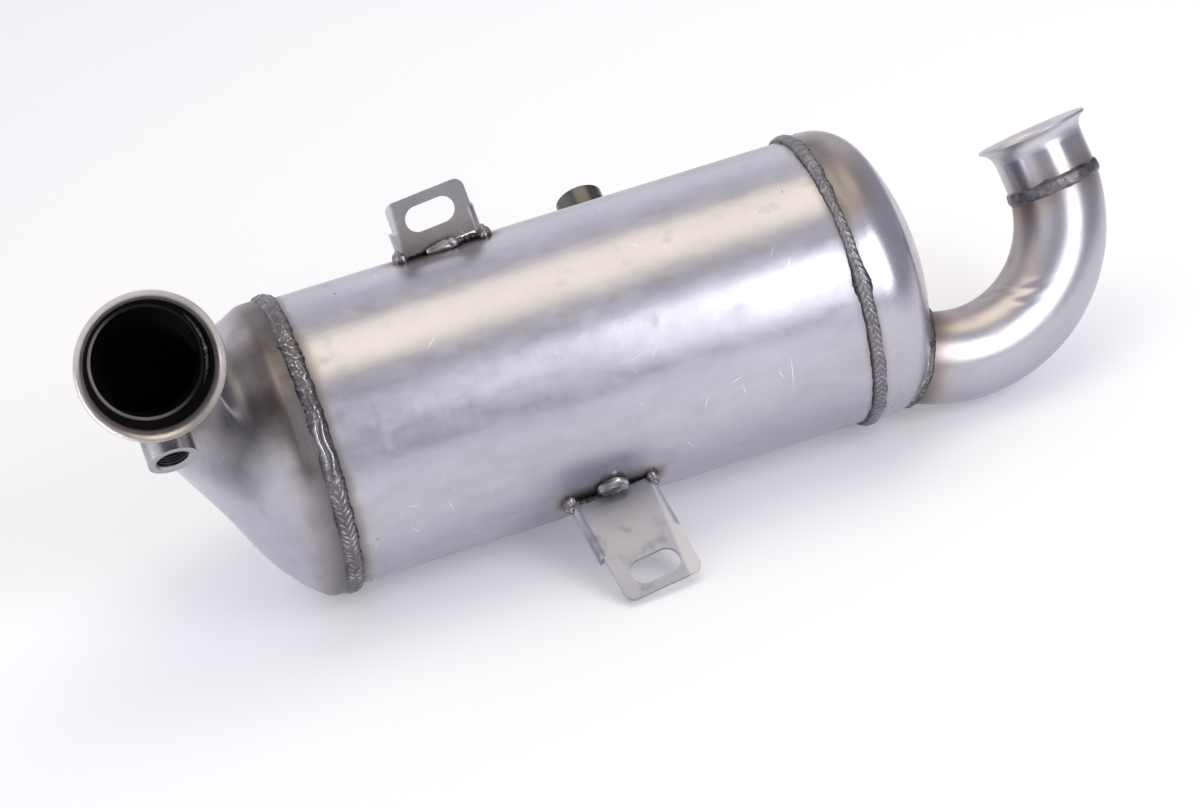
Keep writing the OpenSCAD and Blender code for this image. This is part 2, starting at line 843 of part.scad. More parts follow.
placed() filter_shell();
placed() inlet_cone();
placed() inlet_pipe();
placed() inlet_flare();
placed() inlet_flare_weld();
placed() inlet_neck_weld();
placed() inlet_sensor_boss();
placed() inlet_boss_weld();
placed() outlet_dome();
placed() outlet_elbow();
placed() elbow_weld();
placed() outlet_flare();
placed() outlet_flare_weld();
placed() inlet_seam_weld();
placed() outlet_seam_weld();
placed() shell_sensor_boss();
placed() shell_boss_weld();
placed() upper_bracket();
placed() upper_bracket_welds();
placed() lower_bracket();
placed() lower_bracket_welds();
placed() filter_segments();
placed() segment_cement();
placed() support_mat();
placed() inlet_mat_seal();
placed() outlet_mat_seal();
placed() inlet_retaining_ring();
placed() outlet_retaining_ring();
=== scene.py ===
import math
import random

import bmesh
import bpy
import numpy as np
from mathutils import Matrix, Vector, noise
from mathutils.bvhtree import BVHTree


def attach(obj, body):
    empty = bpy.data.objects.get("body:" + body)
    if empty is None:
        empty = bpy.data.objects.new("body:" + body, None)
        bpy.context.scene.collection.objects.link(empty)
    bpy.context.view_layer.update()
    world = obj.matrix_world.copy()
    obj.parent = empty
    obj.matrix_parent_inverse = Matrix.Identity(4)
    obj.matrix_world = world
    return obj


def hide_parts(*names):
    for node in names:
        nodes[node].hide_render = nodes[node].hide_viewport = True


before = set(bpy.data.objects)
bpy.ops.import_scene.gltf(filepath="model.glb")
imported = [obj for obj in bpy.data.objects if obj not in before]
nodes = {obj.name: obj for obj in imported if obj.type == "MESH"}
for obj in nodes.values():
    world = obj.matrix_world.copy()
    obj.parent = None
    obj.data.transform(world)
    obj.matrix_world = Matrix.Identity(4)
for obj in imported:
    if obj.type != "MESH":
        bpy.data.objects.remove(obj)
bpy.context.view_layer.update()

# Sizes of the part, in metres and radians, as its solids have them

CANISTER = np.array([0.21625, 0.059945, -0.104292])
SEAM_X = 0.14325
SHELL_R = 0.077
SHEET = 0.0016
SKIRT_R = 0.0788
CAP_R = 0.0787
KNUCKLE_R = 0.026
CROWN_R = 0.139
DOME_SKIRT = 0.010
INLET_CLOCK = math.radians(70)
INLET_REACH = 0.073
INLET_OFFSET = 0.0775
NECK_RISE = 0.072
NECK_TOP = 0.080
NECK_WELD = 0.081
NECK_R = 0.03025
HORN_SKIRT = 0.0095
SLEEVE_R = 0.0301
RIM_HEIGHT = 0.092
INLET_BOSS_CLOCK = math.radians(127)
INLET_BOSS_ROOT = 0.038
INLET_BOSS_WELD = 0.042
INLET_BOSS_REACH = 0.0635
BOSS_R = 0.01275
BOSS_BORE_R = 0.0082
SHELL_BOSS_CLOCK = math.radians(-60)
SHELL_BOSS_X = 0.040
SHELL_BOSS_HEIGHT = 0.017
OUTLET_CLOCK = math.radians(-27)
OUTLET_DROP = 0.054
OUTLET_R = 0.02475
PIPE_WALL = 0.0015
BEND_R = 0.071
BEND_START = math.radians(-8)
BEND_END = math.radians(116)
COLLAR_LEAN = math.radians(4.5)
COLLAR_HINGE = OUTLET_R + 0.0026
BRACKET_WIDTH = 0.043
FLANGE_STEP = 0.0015
UPPER_CLOCK, UPPER_X = math.radians(-15), -0.048
LOWER_CLOCK, LOWER_X = math.radians(123), -0.005
FLOOR_Z = -0.1853

AXIS_X = np.array([1.0, 0.0, 0.0])


def clock_dir(clock):
    """Direction away from the canister's axis at a clock angle."""
    return np.array([0.0, -math.sin(clock), math.cos(clock)])


def clock_side(clock):
    """Direction square to the axis and to the way out at a clock angle."""
    return np.array([0.0, math.cos(clock), math.sin(clock)])


def canister_point(x, clock, reach):
    """Place at a distance along the canister, a clock angle and a distance from the axis."""
    return CANISTER + AXIS_X * x + clock_dir(clock) * reach


def unit(vector):
    return vector / np.linalg.norm(vector)


def spoke(turn, side, other):
    """Direction at an angle from one direction toward another."""
    return math.cos(turn) * side + math.sin(turn) * other


def square_pair(axis, hint=AXIS_X):
    """Two directions square to an axis and to each other."""
    side = unit(np.cross(axis, hint))
    return side, np.cross(axis, side)


INLET_OUT = clock_dir(INLET_CLOCK)
INLET_UP = clock_side(INLET_CLOCK)
INLET_FOOT = CANISTER - AXIS_X * (SEAM_X + INLET_REACH) + INLET_UP * INLET_OFFSET
BOSS_OUT = clock_dir(INLET_BOSS_CLOCK)
BOSS_FOOT = INLET_FOOT + INLET_OUT * INLET_BOSS_ROOT
SHELL_BOSS_OUT = clock_dir(SHELL_BOSS_CLOCK)
SHELL_BOSS_FOOT = canister_point(SHELL_BOSS_X, SHELL_BOSS_CLOCK, SHELL_R)
UPPER_ROOT = canister_point(UPPER_X, UPPER_CLOCK, SHELL_R)
LOWER_ROOT = canister_point(LOWER_X, LOWER_CLOCK, SHELL_R)

CROWN_X = SEAM_X + DOME_SKIRT - math.sqrt((CROWN_R - KNUCKLE_R) ** 2 - (CAP_R - KNUCKLE_R) ** 2)
OUTLET_TILT = math.asin(OUTLET_DROP / CROWN_R)
BEND_ALONG = spoke(OUTLET_TILT, AXIS_X, -clock_dir(OUTLET_CLOCK))
BEND_OUT = spoke(OUTLET_TILT, -clock_dir(OUTLET_CLOCK), -AXIS_X)
BEND_SIDE = clock_side(OUTLET_CLOCK)
BEND_BASE = CANISTER + AXIS_X * CROWN_X + BEND_ALONG * CROWN_R
BEND_CENTRE = BEND_BASE - BEND_OUT * BEND_R


def bend_frame(angle):
    """Middle, outward and forward directions of the outlet bend at an angle."""
    out = spoke(angle, BEND_OUT, BEND_ALONG)
    return BEND_CENTRE + BEND_R * out, out, spoke(angle, BEND_ALONG, -BEND_OUT)


def collar_frame():
    """Middle of the outlet collar's foot and the way out along the collar, past its mitre."""
    middle, out, forward = bend_frame(BEND_END)
    leaned = spoke(COLLAR_LEAN, out, forward)
    return middle + COLLAR_HINGE * (out - leaned), spoke(COLLAR_LEAN, forward, -out)


COLLAR_FOOT, COLLAR_OUT = collar_frame()


# Mesh helpers

def wobble(point, scale, seed):
    """Smooth noise from minus one to one at a point."""
    return noise.noise(Vector(point) * scale + Vector((seed * 7.3, seed * 3.1, seed * 5.7)))


def swell_at(value, middle, spread):
    """Smooth hump of height one round a middle."""
    return math.exp(-((value - middle) / spread) ** 2)


def ripple_at(run, pitch):
    """Wave from zero to one that repeats with a pitch."""
    return 0.5 + 0.5 * math.cos(2 * math.pi * run / pitch)


def ring_spot(turn, seed):
    """Place on a unit ring, for noise that closes on itself."""
    return math.cos(turn), math.sin(turn), seed


def strip_faces(rows, columns, close_rows, close_columns):
    faces = []
    for i in range(rows if close_rows else rows - 1):
        for j in range(columns if close_columns else columns - 1):
            i2, j2 = (i + 1) % rows, (j + 1) % columns
            faces.append((i * columns + j, i2 * columns + j, i2 * columns + j2, i * columns + j2))
    return faces


def turn_outward(mesh):
    """Faces of closed forms point out."""
    work = bmesh.new()
    work.from_mesh(mesh)
    bmesh.ops.recalc_face_normals(work, faces=work.faces)
    work.to_mesh(mesh)
    work.free()


def new_mesh(name, points, faces):
    mesh = bpy.data.meshes.new(name)
    mesh.from_pydata([tuple(p) for p in points], [], faces)
    return mesh


def new_object(name, data):
    made = bpy.data.objects.new(name, data)
    bpy.context.scene.collection.objects.link(made)
    return made


def new_piece(name, points, faces, material, slot, *stands_for):
    mesh = new_mesh(name, points, faces)
    mesh.validate()
    mesh.update()
    piece = new_object(name, mesh)
    turn_outward(mesh)
    mesh.polygons.foreach_set("use_smooth", [True] * len(mesh.polygons))
    mesh.materials.append(material)
    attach(piece, "root")
    if stands_for:
        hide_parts(*stands_for)
    return piece


def ring_piece(name, grid, material, slot, *stands_for):
    """Closed ring: rows run along the ring, columns round its section."""
    faces = strip_faces(*grid.shape[:2], True, True)
    return new_piece(name, grid.reshape(-1, 3), faces, material, slot, *stands_for)


def joined(parts):
    """Points and faces of several forms as one mesh."""
    points, faces = [], []
    for part_points, part_faces in parts:
        start = len(points)
        points.extend(part_points)
        faces.extend(tuple(start + k for k in face) for face in part_faces)
    return points, faces


# Shader helpers

class Wire:
    """Output of a shader node. Arithmetic with it adds math nodes to its tree."""

    def __init__(self, tree, socket):
        self.tree, self.socket = tree, socket

    def __add__(self, other):
        return sum_of("ADD", self, other)

    def __radd__(self, other):
        return sum_of("ADD", other, self)

    def __sub__(self, other):
        return sum_of("SUBTRACT", self, other)

    def __mul__(self, other):
        return sum_of("MULTIPLY", self, other)

    def __truediv__(self, other):
        return sum_of("DIVIDE", self, other)


def tree_of(*values):
    return next(value.tree for value in values if isinstance(value, Wire))


def feed(tree, sockets, values):
    """Link wires to the named or numbered sockets, and set the others to constants."""
    for key, value in values.items():
        socket = sockets[key]
        if isinstance(value, Wire):
            tree.links.new(value.socket, socket)
        elif socket.type == "RGBA":
            socket.default_value = (*value, 1.0)
        elif socket.type == "VECTOR":
            socket.default_value = tuple(value)
        else:
            socket.default_value = value


def add_node(tree, kind, values=None, **settings):
    made = tree.nodes.new(kind)
    for key, value in settings.items():
        setattr(made, key, value)
    feed(tree, made.inputs, values or {})
    return made


def put(tree, kind, values=None, out=0, **settings):
    """New node, as the wire of one of its outputs."""
    return Wire(tree, add_node(tree, kind, values, **settings).outputs[out])


def wires_of(tree, made):
    """Outputs of a node by name."""
    return {socket.name: Wire(tree, socket) for socket in made.outputs}


def sum_of(operation, a, b=0.0, clamp=False):
    return put(tree_of(a, b), "ShaderNodeMath", {0: a, 1: b}, operation=operation, use_clamp=clamp)


def hypotenuse_of(a, b):
    return sum_of("SQRT", a * a + b * b)


def vector_of(operation, a, b=(0.0, 0.0, 0.0), out=0):
    return put(tree_of(a, b), "ShaderNodeVectorMath", {0: a, 1: b}, out, operation=operation)


def dot_of(a, b):
    return vector_of("DOT_PRODUCT", a, b, "Value")


def parts_along(local, axis):
    """Height of a place along an axis, and the rest of the place, square to the axis."""
    height = dot_of(local, axis)
    stem = put(local.tree, "ShaderNodeVectorMath", {0: axis, "Scale": height}, operation="SCALE")
    return height, vector_of("SUBTRACT", local, stem)


def split_of(vector):
    return list(wires_of(vector.tree, add_node(vector.tree, "ShaderNodeSeparateXYZ", {0: vector})).values())


def join_of(x, y, z):
    return put(tree_of(x, y, z), "ShaderNodeCombineXYZ", {0: x, 1: y, 2: z})


def noise_of(place, scale, detail, roughness=0.5, out=0):
    return put(place.tree, "ShaderNodeTexNoise", {"Vector": place, "Scale": scale, "Detail": detail,
                                                  "Roughness": roughness}, out)


def ramp_of(value, stops):
    made = add_node(value.tree, "ShaderNodeValToRGB", {0: value})
    ramp = made.color_ramp
    while len(ramp.elements) < len(stops):
        ramp.elements.new(0.5)
    for element, (place, colour) in zip(ramp.elements, stops):
        element.position = place
        element.color = (*colour, 1.0)
    return Wire(value.tree, made.outputs[0])


def range_of(value, low, high, to_low=0.0, to_high=1.0):
    return put(value.tree, "ShaderNodeMapRange", {0: value, 1: low, 2: high, 3: to_low, 4: to_high},
               interpolation_type="SMOOTHSTEP")


def blend_of(kind, share, a, b):
    return put(tree_of(share, a, b), "ShaderNodeMix", {0: share, 6: a, 7: b}, 2, data_type="RGBA", blend_type=kind)


def grey_of(level):
    return put(level.tree, "ShaderNodeCombineColor", {0: level, 1: level, 2: level})


def shaded(colour, level):
    return blend_of("MULTIPLY", 1.0, colour, grey_of(level))


def bump_of(strength, distance, height, **normal):
    return put(height.tree, "ShaderNodeBump",
               {"Strength": strength, "Distance": distance, "Height": height, **normal})


def object_place(tree):
    return put(tree, "ShaderNodeTexCoord", out="Object")


# Node groups

NOWHERE = (0, 0, 0)
SOCKET_KINDS = {"VALUE": "NodeSocketFloat", "VECTOR": "NodeSocketVector", "RGBA": "NodeSocketColor"}


def new_group(name, **inputs):
    """Shader node group with named inputs and their defaults, and the inputs as wires."""
    tree = bpy.data.node_groups.new(name, "ShaderNodeTree")
    for title, default in inputs.items():
        kind = "VALUE" if isinstance(default, float) else "VECTOR" if len(default) == 3 else "RGBA"
        socket = tree.interface.new_socket(title, in_out="INPUT", socket_type=SOCKET_KINDS[kind])
        socket.default_value = default
    return tree, wires_of(tree, tree.nodes.new("NodeGroupInput"))


def close_group(tree, **outputs):
    """Named outputs of a group, each of the kind of the wire that feeds it."""
    for title, wire in outputs.items():
        tree.interface.new_socket(title, in_out="OUTPUT", socket_type=SOCKET_KINDS[wire.socket.type])
    feed(tree, tree.nodes.new("NodeGroupOutput").inputs, outputs)
    return tree


def canister_coordinates():
    """Unrolled place on the canister: along it, round it, and away from its axis."""
    tree, _ = new_group("canister_coordinates")
    place = object_place(tree)
    along, back, up = split_of(vector_of("SUBTRACT", place, CANISTER))
    around = sum_of("ARCTAN2", back, up) * -SHELL_R
    return close_group(tree, Unrolled=join_of(along, around, hypotenuse_of(back, up)), Place=place)


def bend_coordinates():
    """Place on the outlet pipe: along the bend and round the pipe."""
    tree, _ = new_group("bend_coordinates")
    place = object_place(tree)
    local = vector_of("SUBTRACT", place, BEND_CENTRE)
    ahead, outward, side = (dot_of(local, way) for way in (BEND_ALONG, BEND_OUT, BEND_SIDE))
    along = sum_of("ARCTAN2", ahead, outward) * BEND_R
    around = sum_of("ARCTAN2", side, hypotenuse_of(ahead, outward) - BEND_R) * OUTLET_R
    return close_group(tree, Unrolled=join_of(along, around, 0.0), Place=place)


def brush_marks():
    """Fine grinding lines: they run along the second axis of the vector and crowd along the first."""
    tree, got = new_group("brush_marks", Vector=NOWHERE, Fineness=900.0, Run=22.0)
    fine = vector_of("MULTIPLY", got["Vector"], join_of(got["Fineness"], got["Run"], got["Run"]))
    broad = vector_of("MULTIPLY", fine, (0.22, 0.6, 0.6))
    near, far = noise_of(fine, 1.0, 3.0, 0.62), noise_of(broad, 1.0, 2.0)
    return close_group(tree, Tone=near * 0.55 + far * 0.45, Height=near)


def handling_scratches():
    """Short straight scratches in the sheet, one in some of the cells of a scattered pattern."""
    tree, got = new_group("handling_scratches", Vector=NOWHERE, Scale=40.0, Length=0.006, Width=0.00016, Share=0.5)
    run, around, away = split_of(got["Vector"])
    flat = join_of(run, around + away, 0.0)
    cells = wires_of(tree, add_node(tree, "ShaderNodeTexVoronoi", {"Vector": flat, "Scale": got["Scale"]},
                                    voronoi_dimensions="2D"))
    offset = vector_of("MULTIPLY", vector_of("SUBTRACT", flat, cells["Position"]), (1.0, 1.0, 0.0))
    turned = vector_of("SUBTRACT", cells["Color"], (0.5, 0.5, 0.5))
    heading = vector_of("NORMALIZE", vector_of("MULTIPLY", turned, (0.6, 1.0, 0.0)))
    along, across = parts_along(offset, heading)
    thin = sum_of("SUBTRACT", 1.0, vector_of("LENGTH", across, out="Value") / got["Width"], True)
    reach = sum_of("SUBTRACT", 1.0, sum_of("ABSOLUTE", along) / got["Length"], True)
    picked = sum_of("LESS_THAN", put(tree, "ShaderNodeSeparateColor", {0: cells["Color"]}, 2), got["Share"])
    return close_group(tree, Mask=thin * reach * picked)


def heat_tint_and_shade():
    """Heat colours of a weld, round a ring or along a straight run: straw, brown and grey toward the bead; marks that
    are made dark and plain use it as painted shade.
    """
    tree, got = new_group("heat_tint_and_shade", Place=NOWHERE, Centre=NOWHERE, Axis=(1, 0, 0), Radius=0.0, Run=0.0,
                          Reach=0.015, Strength=1.0, Warmth=1.0)
    place = got["Place"]
    height, square = parts_along(vector_of("SUBTRACT", place, got["Centre"]), got["Axis"])
    off = vector_of("LENGTH", square, out="Value") - got["Radius"]
    past = sum_of("MAXIMUM", sum_of("ABSOLUTE", height) - got["Run"], 0.0)
    uneven, patchy = noise_of(place, 70.0, 3.0), noise_of(place, 16.0, 1.0)
    reach = got["Reach"] * (0.35 + (uneven * 0.5 + patchy * 0.8))
    closeness = sum_of("SUBTRACT", 1.0, hypotenuse_of(past, off) / reach, True)
    amount = sum_of("MULTIPLY", closeness, got["Strength"], True)
    tint = ramp_of(amount, [(0.0, (1, 1, 1)), (0.22, (0.96, 0.91, 0.84)), (0.48, (0.72, 0.645, 0.58)),
                            (0.74, (0.46, 0.42, 0.395)), (1.0, (0.2, 0.19, 0.19))])
    plain = grey_of(put(tree, "ShaderNodeRGBToBW", {0: tint}))
    return close_group(tree, Tint=blend_of("MIX", got["Warmth"], plain, tint), Amount=amount)


def cloudy_wear():
    """Broad uneven clouding of a ground surface, with small smudges."""
    tree, got = new_group("cloudy_wear", Place=NOWHERE, Scale=14.0)
    small = noise_of(got["Place"], got["Scale"] * 5.0, 5.0)
    return close_group(tree, Tone=noise_of(got["Place"], got["Scale"], 4.0, 0.55),
                       Smudge=range_of(small, 0.56, 0.78))


def axis_group(name, title, near, far):
    """Group that eases from one level to another with the distance from a middle along an axis."""
    tree, got = new_group(name, Place=NOWHERE, Middle=NOWHERE, Axis=(1, 0, 0), From=0.0, To=0.01)
    off = sum_of("ABSOLUTE", dot_of(vector_of("SUBTRACT", got["Place"], got["Middle"]), got["Axis"]))
    return close_group(tree, **{title: range_of(off, got["From"], got["To"], near, far)})


def painted_edge_highlight():
    """Mask of a painted highlight on a lip or bend, far from its middle."""
    return axis_group("painted_edge_highlight", "Mask", 0.0, 1.0)


def bead_toe_shade():
    """Painted shade at the toes on both sides of a bead's middle."""
    return axis_group("bead_toe_shade", "Shade", 1.0, 0.28)


def inlet_depth_darkening():
    """The inlet turns black with depth on faces that look at its axis, and darker on its right side."""
    tree, got = new_group("inlet_depth_darkening", Place=NOWHERE, Facing=(0, 0, 1), Tone=0.5, From=0.0, To=0.01, Grime=0.0)
    local = vector_of("SUBTRACT", got["Place"], INLET_FOOT)
    depth, square = parts_along(local, INLET_OUT)
    facing = dot_of(vector_of("NORMALIZE", square), got["Facing"])
    ragged = (got["Tone"] - 0.5) * 0.006
    below = range_of(depth + ragged, got["From"], got["To"], 1.0, 0.0)
    inside = range_of(facing, -0.15, 0.1, 1.0, 0.0)
    side_dark_mask = range_of(dot_of(local, (0.875, 0.096, 0.475)), -0.014, 0.016) * got["Grime"]
    return close_group(tree, Mask=sum_of("MAXIMUM", below * inside, side_dark_mask))


def weld_skin():
    """Solidified bead: dark oxide, painted glints on its crests, painted shade in its hollows, smudges and pits."""
    tree, got = new_group("weld_skin", Place=NOWHERE, Crest=0.5, Tone=0.5, Smudge=0.0, Oxide=(0.2, 0.2, 0.2, 1.0),
                          Glint=0.7)
    place, crest = got["Place"], got["Crest"]
    # Painted glints on convex crests and painted shade in concave hollows, from the mesh's pointiness
    bright = sum_of("MAXIMUM", range_of(crest, 0.505, 0.55) * got["Glint"], got["Smudge"] * 0.6)
    shade = range_of(got["Tone"], 0.25, 0.75, 0.75, 1.15) * range_of(crest, 0.42, 0.5, 0.3, 1.0)
    colour = shaded(blend_of("MIX", bright, got["Oxide"], (0.62, 0.62, 0.64)), shade)
    pits = put(tree, "ShaderNodeTexVoronoi", {"Vector": place, "Scale": 900.0}, "Distance")
    return close_group(tree, Colour=colour, Bright=bright, Height=pits * 0.5 + noise_of(place, 700.0, 4.0))


def solid_grain():
    """Grain of the hidden pieces, with an uneven tone."""
    tree, got = new_group("solid_grain", Place=NOWHERE, Tone=0.5, Scale=500.0)
    grain = noise_of(got["Place"], got["Scale"], 4.0)
    return close_group(tree, Level=range_of(got["Tone"] * 0.5 + grain * 0.5, 0.25, 0.75, 0.7, 1.2), Grain=grain)


GROUPS = {make.__name__: make() for make in (
    canister_coordinates, bend_coordinates, brush_marks, handling_scratches, heat_tint_and_shade, cloudy_wear, painted_edge_highlight,
    inlet_depth_darkening, weld_skin, bead_toe_shade, solid_grain)}


def use_group(tree, name, **values):
    made = tree.nodes.new("ShaderNodeGroup")
    made.node_tree = GROUPS[name]
    feed(tree, made.inputs, values)
    return wires_of(tree, made)


def new_material(name):
    material = bpy.data.materials.new(name)
    material.use_nodes = True
    tree = material.node_tree
    return material, tree, tree.nodes["Principled BSDF"].inputs


# Heat marks, and painted shade made the same way: centre, axis, radius of the weld's ring, half length of a straight
# run, reach, strength and warmth

TINT_MARK_SOCKETS = ("Centre", "Axis", "Radius", "Run", "Reach", "Strength", "Warmth")
INLET_SEAM = CANISTER - AXIS_X * SEAM_X
OUTLET_SEAM = CANISTER + AXIS_X * SEAM_X
DOME_TOP_CLOCK = math.radians(12)

SEAM_IN_HEAT = (INLET_SEAM, AXIS_X, SHELL_R, 0.0, 0.0115, 1.35, 0.6)
SEAM_IN_HORN_HEAT = (INLET_SEAM, AXIS_X, SHELL_R, 0.0, 0.028, 1.05, 0.6)
HORN_TOP_HEAT = (np.array([0.06, 0.045, -0.027]), unit(np.array([0.0, 30.0, 2.0])), 0.0, 0.026, 0.026, 0.62, 0.5)
# Painted dark reflection on the front of the horn: a plain grey darkening
HORN_FRONT_DARK_REFLECTION = (np.array([0.034, 0.008, -0.07]), unit(np.array([-10.0, 9.8, -21.0])), 0.0, 0.014, 0.034, 0.82, 0.1)
# Painted shade along the crease where the horn's skirt ends, with some heat tint
HORN_CREASE_SHADE_AND_HEAT = (np.array([0.0611, -0.006, -0.0633]), unit(np.array([2.2, -14.5, -23.2])), 0.0, 0.017, 0.009,
                    0.6, 0.5)
# Heat tint in the saddle below the neck, with painted dark reflection over it
SADDLE_HEAT_AND_DARK_REFLECTION = (np.array([0.0385, 0.0235, -0.043]), unit(np.array([11.5, 27.2, 19.4])), 0.0, 0.014, 0.03, 0.88, 0.25)
NECK_HEAT = (INLET_FOOT + INLET_OUT * NECK_TOP, INLET_OUT, NECK_R, 0.0, 0.02, 0.7, 0.4)
BOSS_HEAT = (BOSS_FOOT + BOSS_OUT * INLET_BOSS_WELD, BOSS_OUT, BOSS_R, 0.0, 0.018, 0.8, 0.3)
SEAM_OUT_HEAT = (OUTLET_SEAM, AXIS_X, SHELL_R, 0.0, 0.0068, 0.9, 0.3)
DOME_TOP_HEAT = (canister_point(SEAM_X + 0.008, DOME_TOP_CLOCK, SHELL_R), clock_side(DOME_TOP_CLOCK), 0.0, 0.026,
                 0.02, 0.8, 1.0)
ELBOW_HEAT = (BEND_BASE, BEND_ALONG, OUTLET_R, 0.0, 0.014, 0.8, 1.0)
# Heat tint on the inside of the bend, with painted dark reflection over it
BEND_INSIDE_HEAT_AND_DARK_REFLECTION = (BEND_CENTRE, BEND_SIDE, BEND_R - OUTLET_R, 0.0, 0.034, 0.58, 1.0)
COLLAR_HEAT = (COLLAR_FOOT, COLLAR_OUT, OUTLET_R, 0.0, 0.017, 0.6, 1.0)
SHELL_BOSS_HEAT = (SHELL_BOSS_FOOT, SHELL_BOSS_OUT, BOSS_R, 0.0, 0.012, 0.6, 1.0)
# Heat tint at the bracket roots, made near black as painted shade of the gap under each web
UPPER_ROOT_HEAT_AND_SHADE = (UPPER_ROOT + clock_side(UPPER_CLOCK) * 0.002, AXIS_X, 0.0, 0.021, 0.013, 1.4, 1.0)
LOWER_ROOT_HEAT_AND_SHADE = (LOWER_ROOT - clock_side(LOWER_CLOCK) * 0.002, AXIS_X, 0.0, 0.021, 0.013, 1.4, 1.0)
UPPER_WEB_HEAT = (UPPER_ROOT, AXIS_X, 0.0, 0.016, 0.022, 0.62, 0.4)
LOWER_WEB_HEAT = (LOWER_ROOT, AXIS_X, 0.0, 0.008, 0.026, 0.5, 0.3)

# Where an edge gets a painted highlight or a bead gets painted shade at its toes: middle, axis, and the distances
# that the change runs from and to

AXIS_SOCKETS = ("Middle", "Axis", "From", "To")
HIGHLIGHT_STEEL = (0.62, 0.61, 0.65)
BRUSH_GLOSS = 0.08


def satin_steel(name, base, rough, tint_marks, coordinates="canister_coordinates", fineness=900.0, run=22.0, brush=0.25,
                scratch=0.5, bump=0.00018, cloud=0.2, wave=0.0003, edge_highlight=None, rub=0.15, dirt=0.03):
    """Ground stainless sheet: heat marks, some made dark as painted shade, clouding, waviness, brushing, rubbed
    streaks, scratches and painted highlights on edges.
    """
    material, tree, shader = new_material(name)
    at = use_group(tree, coordinates)
    place, unrolled = at["Place"], at["Unrolled"]
    brushed = use_group(tree, "brush_marks", Vector=unrolled, Fineness=fineness, Run=run)
    rubbed = use_group(tree, "brush_marks", Vector=unrolled, Fineness=55.0, Run=120.0)["Tone"]
    cloudy = use_group(tree, "cloudy_wear", Place=place)
    long_marks = use_group(tree, "handling_scratches", Vector=unrolled, Scale=26.0, Length=0.013, Width=0.00028,
                           Share=0.3)["Mask"]
    short_marks = use_group(tree, "handling_scratches", Vector=unrolled, Scale=75.0, Length=0.0045, Width=0.00026,
                            Share=0.26)["Mask"]
    bunched = range_of(cloudy["Tone"], 0.47, 0.62, 0.0, scratch)
    marks = sum_of("MAXIMUM", long_marks, short_marks) * bunched
    level = 1.0 + marks
    for tone, share in ((brushed["Tone"], brush), (cloudy["Tone"], cloud), (rubbed, rub)):
        level = level + (tone - 0.5) * share
    colour = shaded(base, level - cloudy["Smudge"] * dirt)
    shine = rough - 0.5 * (BRUSH_GLOSS + 0.5 * rub) + brushed["Tone"] * BRUSH_GLOSS
    shine = shine + rubbed * (0.5 * rub) + cloudy["Smudge"] * 0.14
    strongest_tint = None
    # Heat tints, and the painted shade and dark reflections of the marks that are made dark and plain
    for mark in tint_marks:
        tint_mark = use_group(tree, "heat_tint_and_shade", Place=place, **dict(zip(TINT_MARK_SOCKETS, mark)))
        colour = blend_of("MULTIPLY", 1.0, colour, tint_mark["Tint"])
        strongest_tint = sum_of("MAXIMUM", strongest_tint, tint_mark["Amount"]) if strongest_tint else tint_mark["Amount"]
    if edge_highlight:
        # Painted highlight on the collar's lip and on the bracket bends: lighter steel, a little rougher
        lip = use_group(tree, "painted_edge_highlight", Place=place, **dict(zip(AXIS_SOCKETS, edge_highlight)))["Mask"]
        colour = blend_of("MIX", lip, colour, HIGHLIGHT_STEEL)
        shine = shine + lip * 0.2
    rolled = bump_of(1.0, wave, cloudy["Tone"])
    relief = bump_of(0.35, bump, brushed["Height"] - marks * 1.5, Normal=rolled)
    feed(tree, shader, {"Base Color": colour, "Roughness": shine + strongest_tint * 0.12, "Metallic": 1.0, "Normal": relief})
    return material


STEEL = (0.497, 0.488, 0.546)
# Distance of the bracket's edge bends from its middle, where a painted highlight runs along each bend
BRACKET_BEND_HIGHLIGHT = (0.0193, 0.0218)

shell_steel = satin_steel(
    "shell_brushed_steel", STEEL, 0.31, (SEAM_IN_HEAT, SEAM_OUT_HEAT, UPPER_ROOT_HEAT_AND_SHADE, LOWER_ROOT_HEAT_AND_SHADE, SHELL_BOSS_HEAT),
    fineness=1500.0, brush=0.11, bump=0.00007, cloud=0.36, wave=0.0005, rub=0.5, scratch=1.3)
horn_steel = satin_steel(
    "horn_pressed_steel", STEEL, 0.32, (SEAM_IN_HORN_HEAT, NECK_HEAT, SADDLE_HEAT_AND_DARK_REFLECTION, BOSS_HEAT, HORN_TOP_HEAT,
                                        HORN_FRONT_DARK_REFLECTION, HORN_CREASE_SHADE_AND_HEAT), run=120.0, brush=0.08, cloud=0.7)
dome_steel = satin_steel(
    "dome_pressed_steel", STEEL, 0.28, (SEAM_OUT_HEAT, ELBOW_HEAT, DOME_TOP_HEAT),
    fineness=1200.0, run=14.0, brush=0.04, bump=0.00004, wave=0.00012)
bend_steel = satin_steel(
    "bend_tube_steel", STEEL, 0.3, (ELBOW_HEAT, COLLAR_HEAT, BEND_INSIDE_HEAT_AND_DARK_REFLECTION), "bend_coordinates",
    fineness=1100.0, run=60.0, brush=0.08, bump=0.00006)
outlet_collar_steel = satin_steel(
    "outlet_collar_steel", STEEL, 0.2, (COLLAR_HEAT,), fineness=50.0, run=50.0, brush=0.06, bump=0.00002,
    wave=0.0001, edge_highlight=(COLLAR_FOOT, COLLAR_OUT, 0.0185, 0.022))
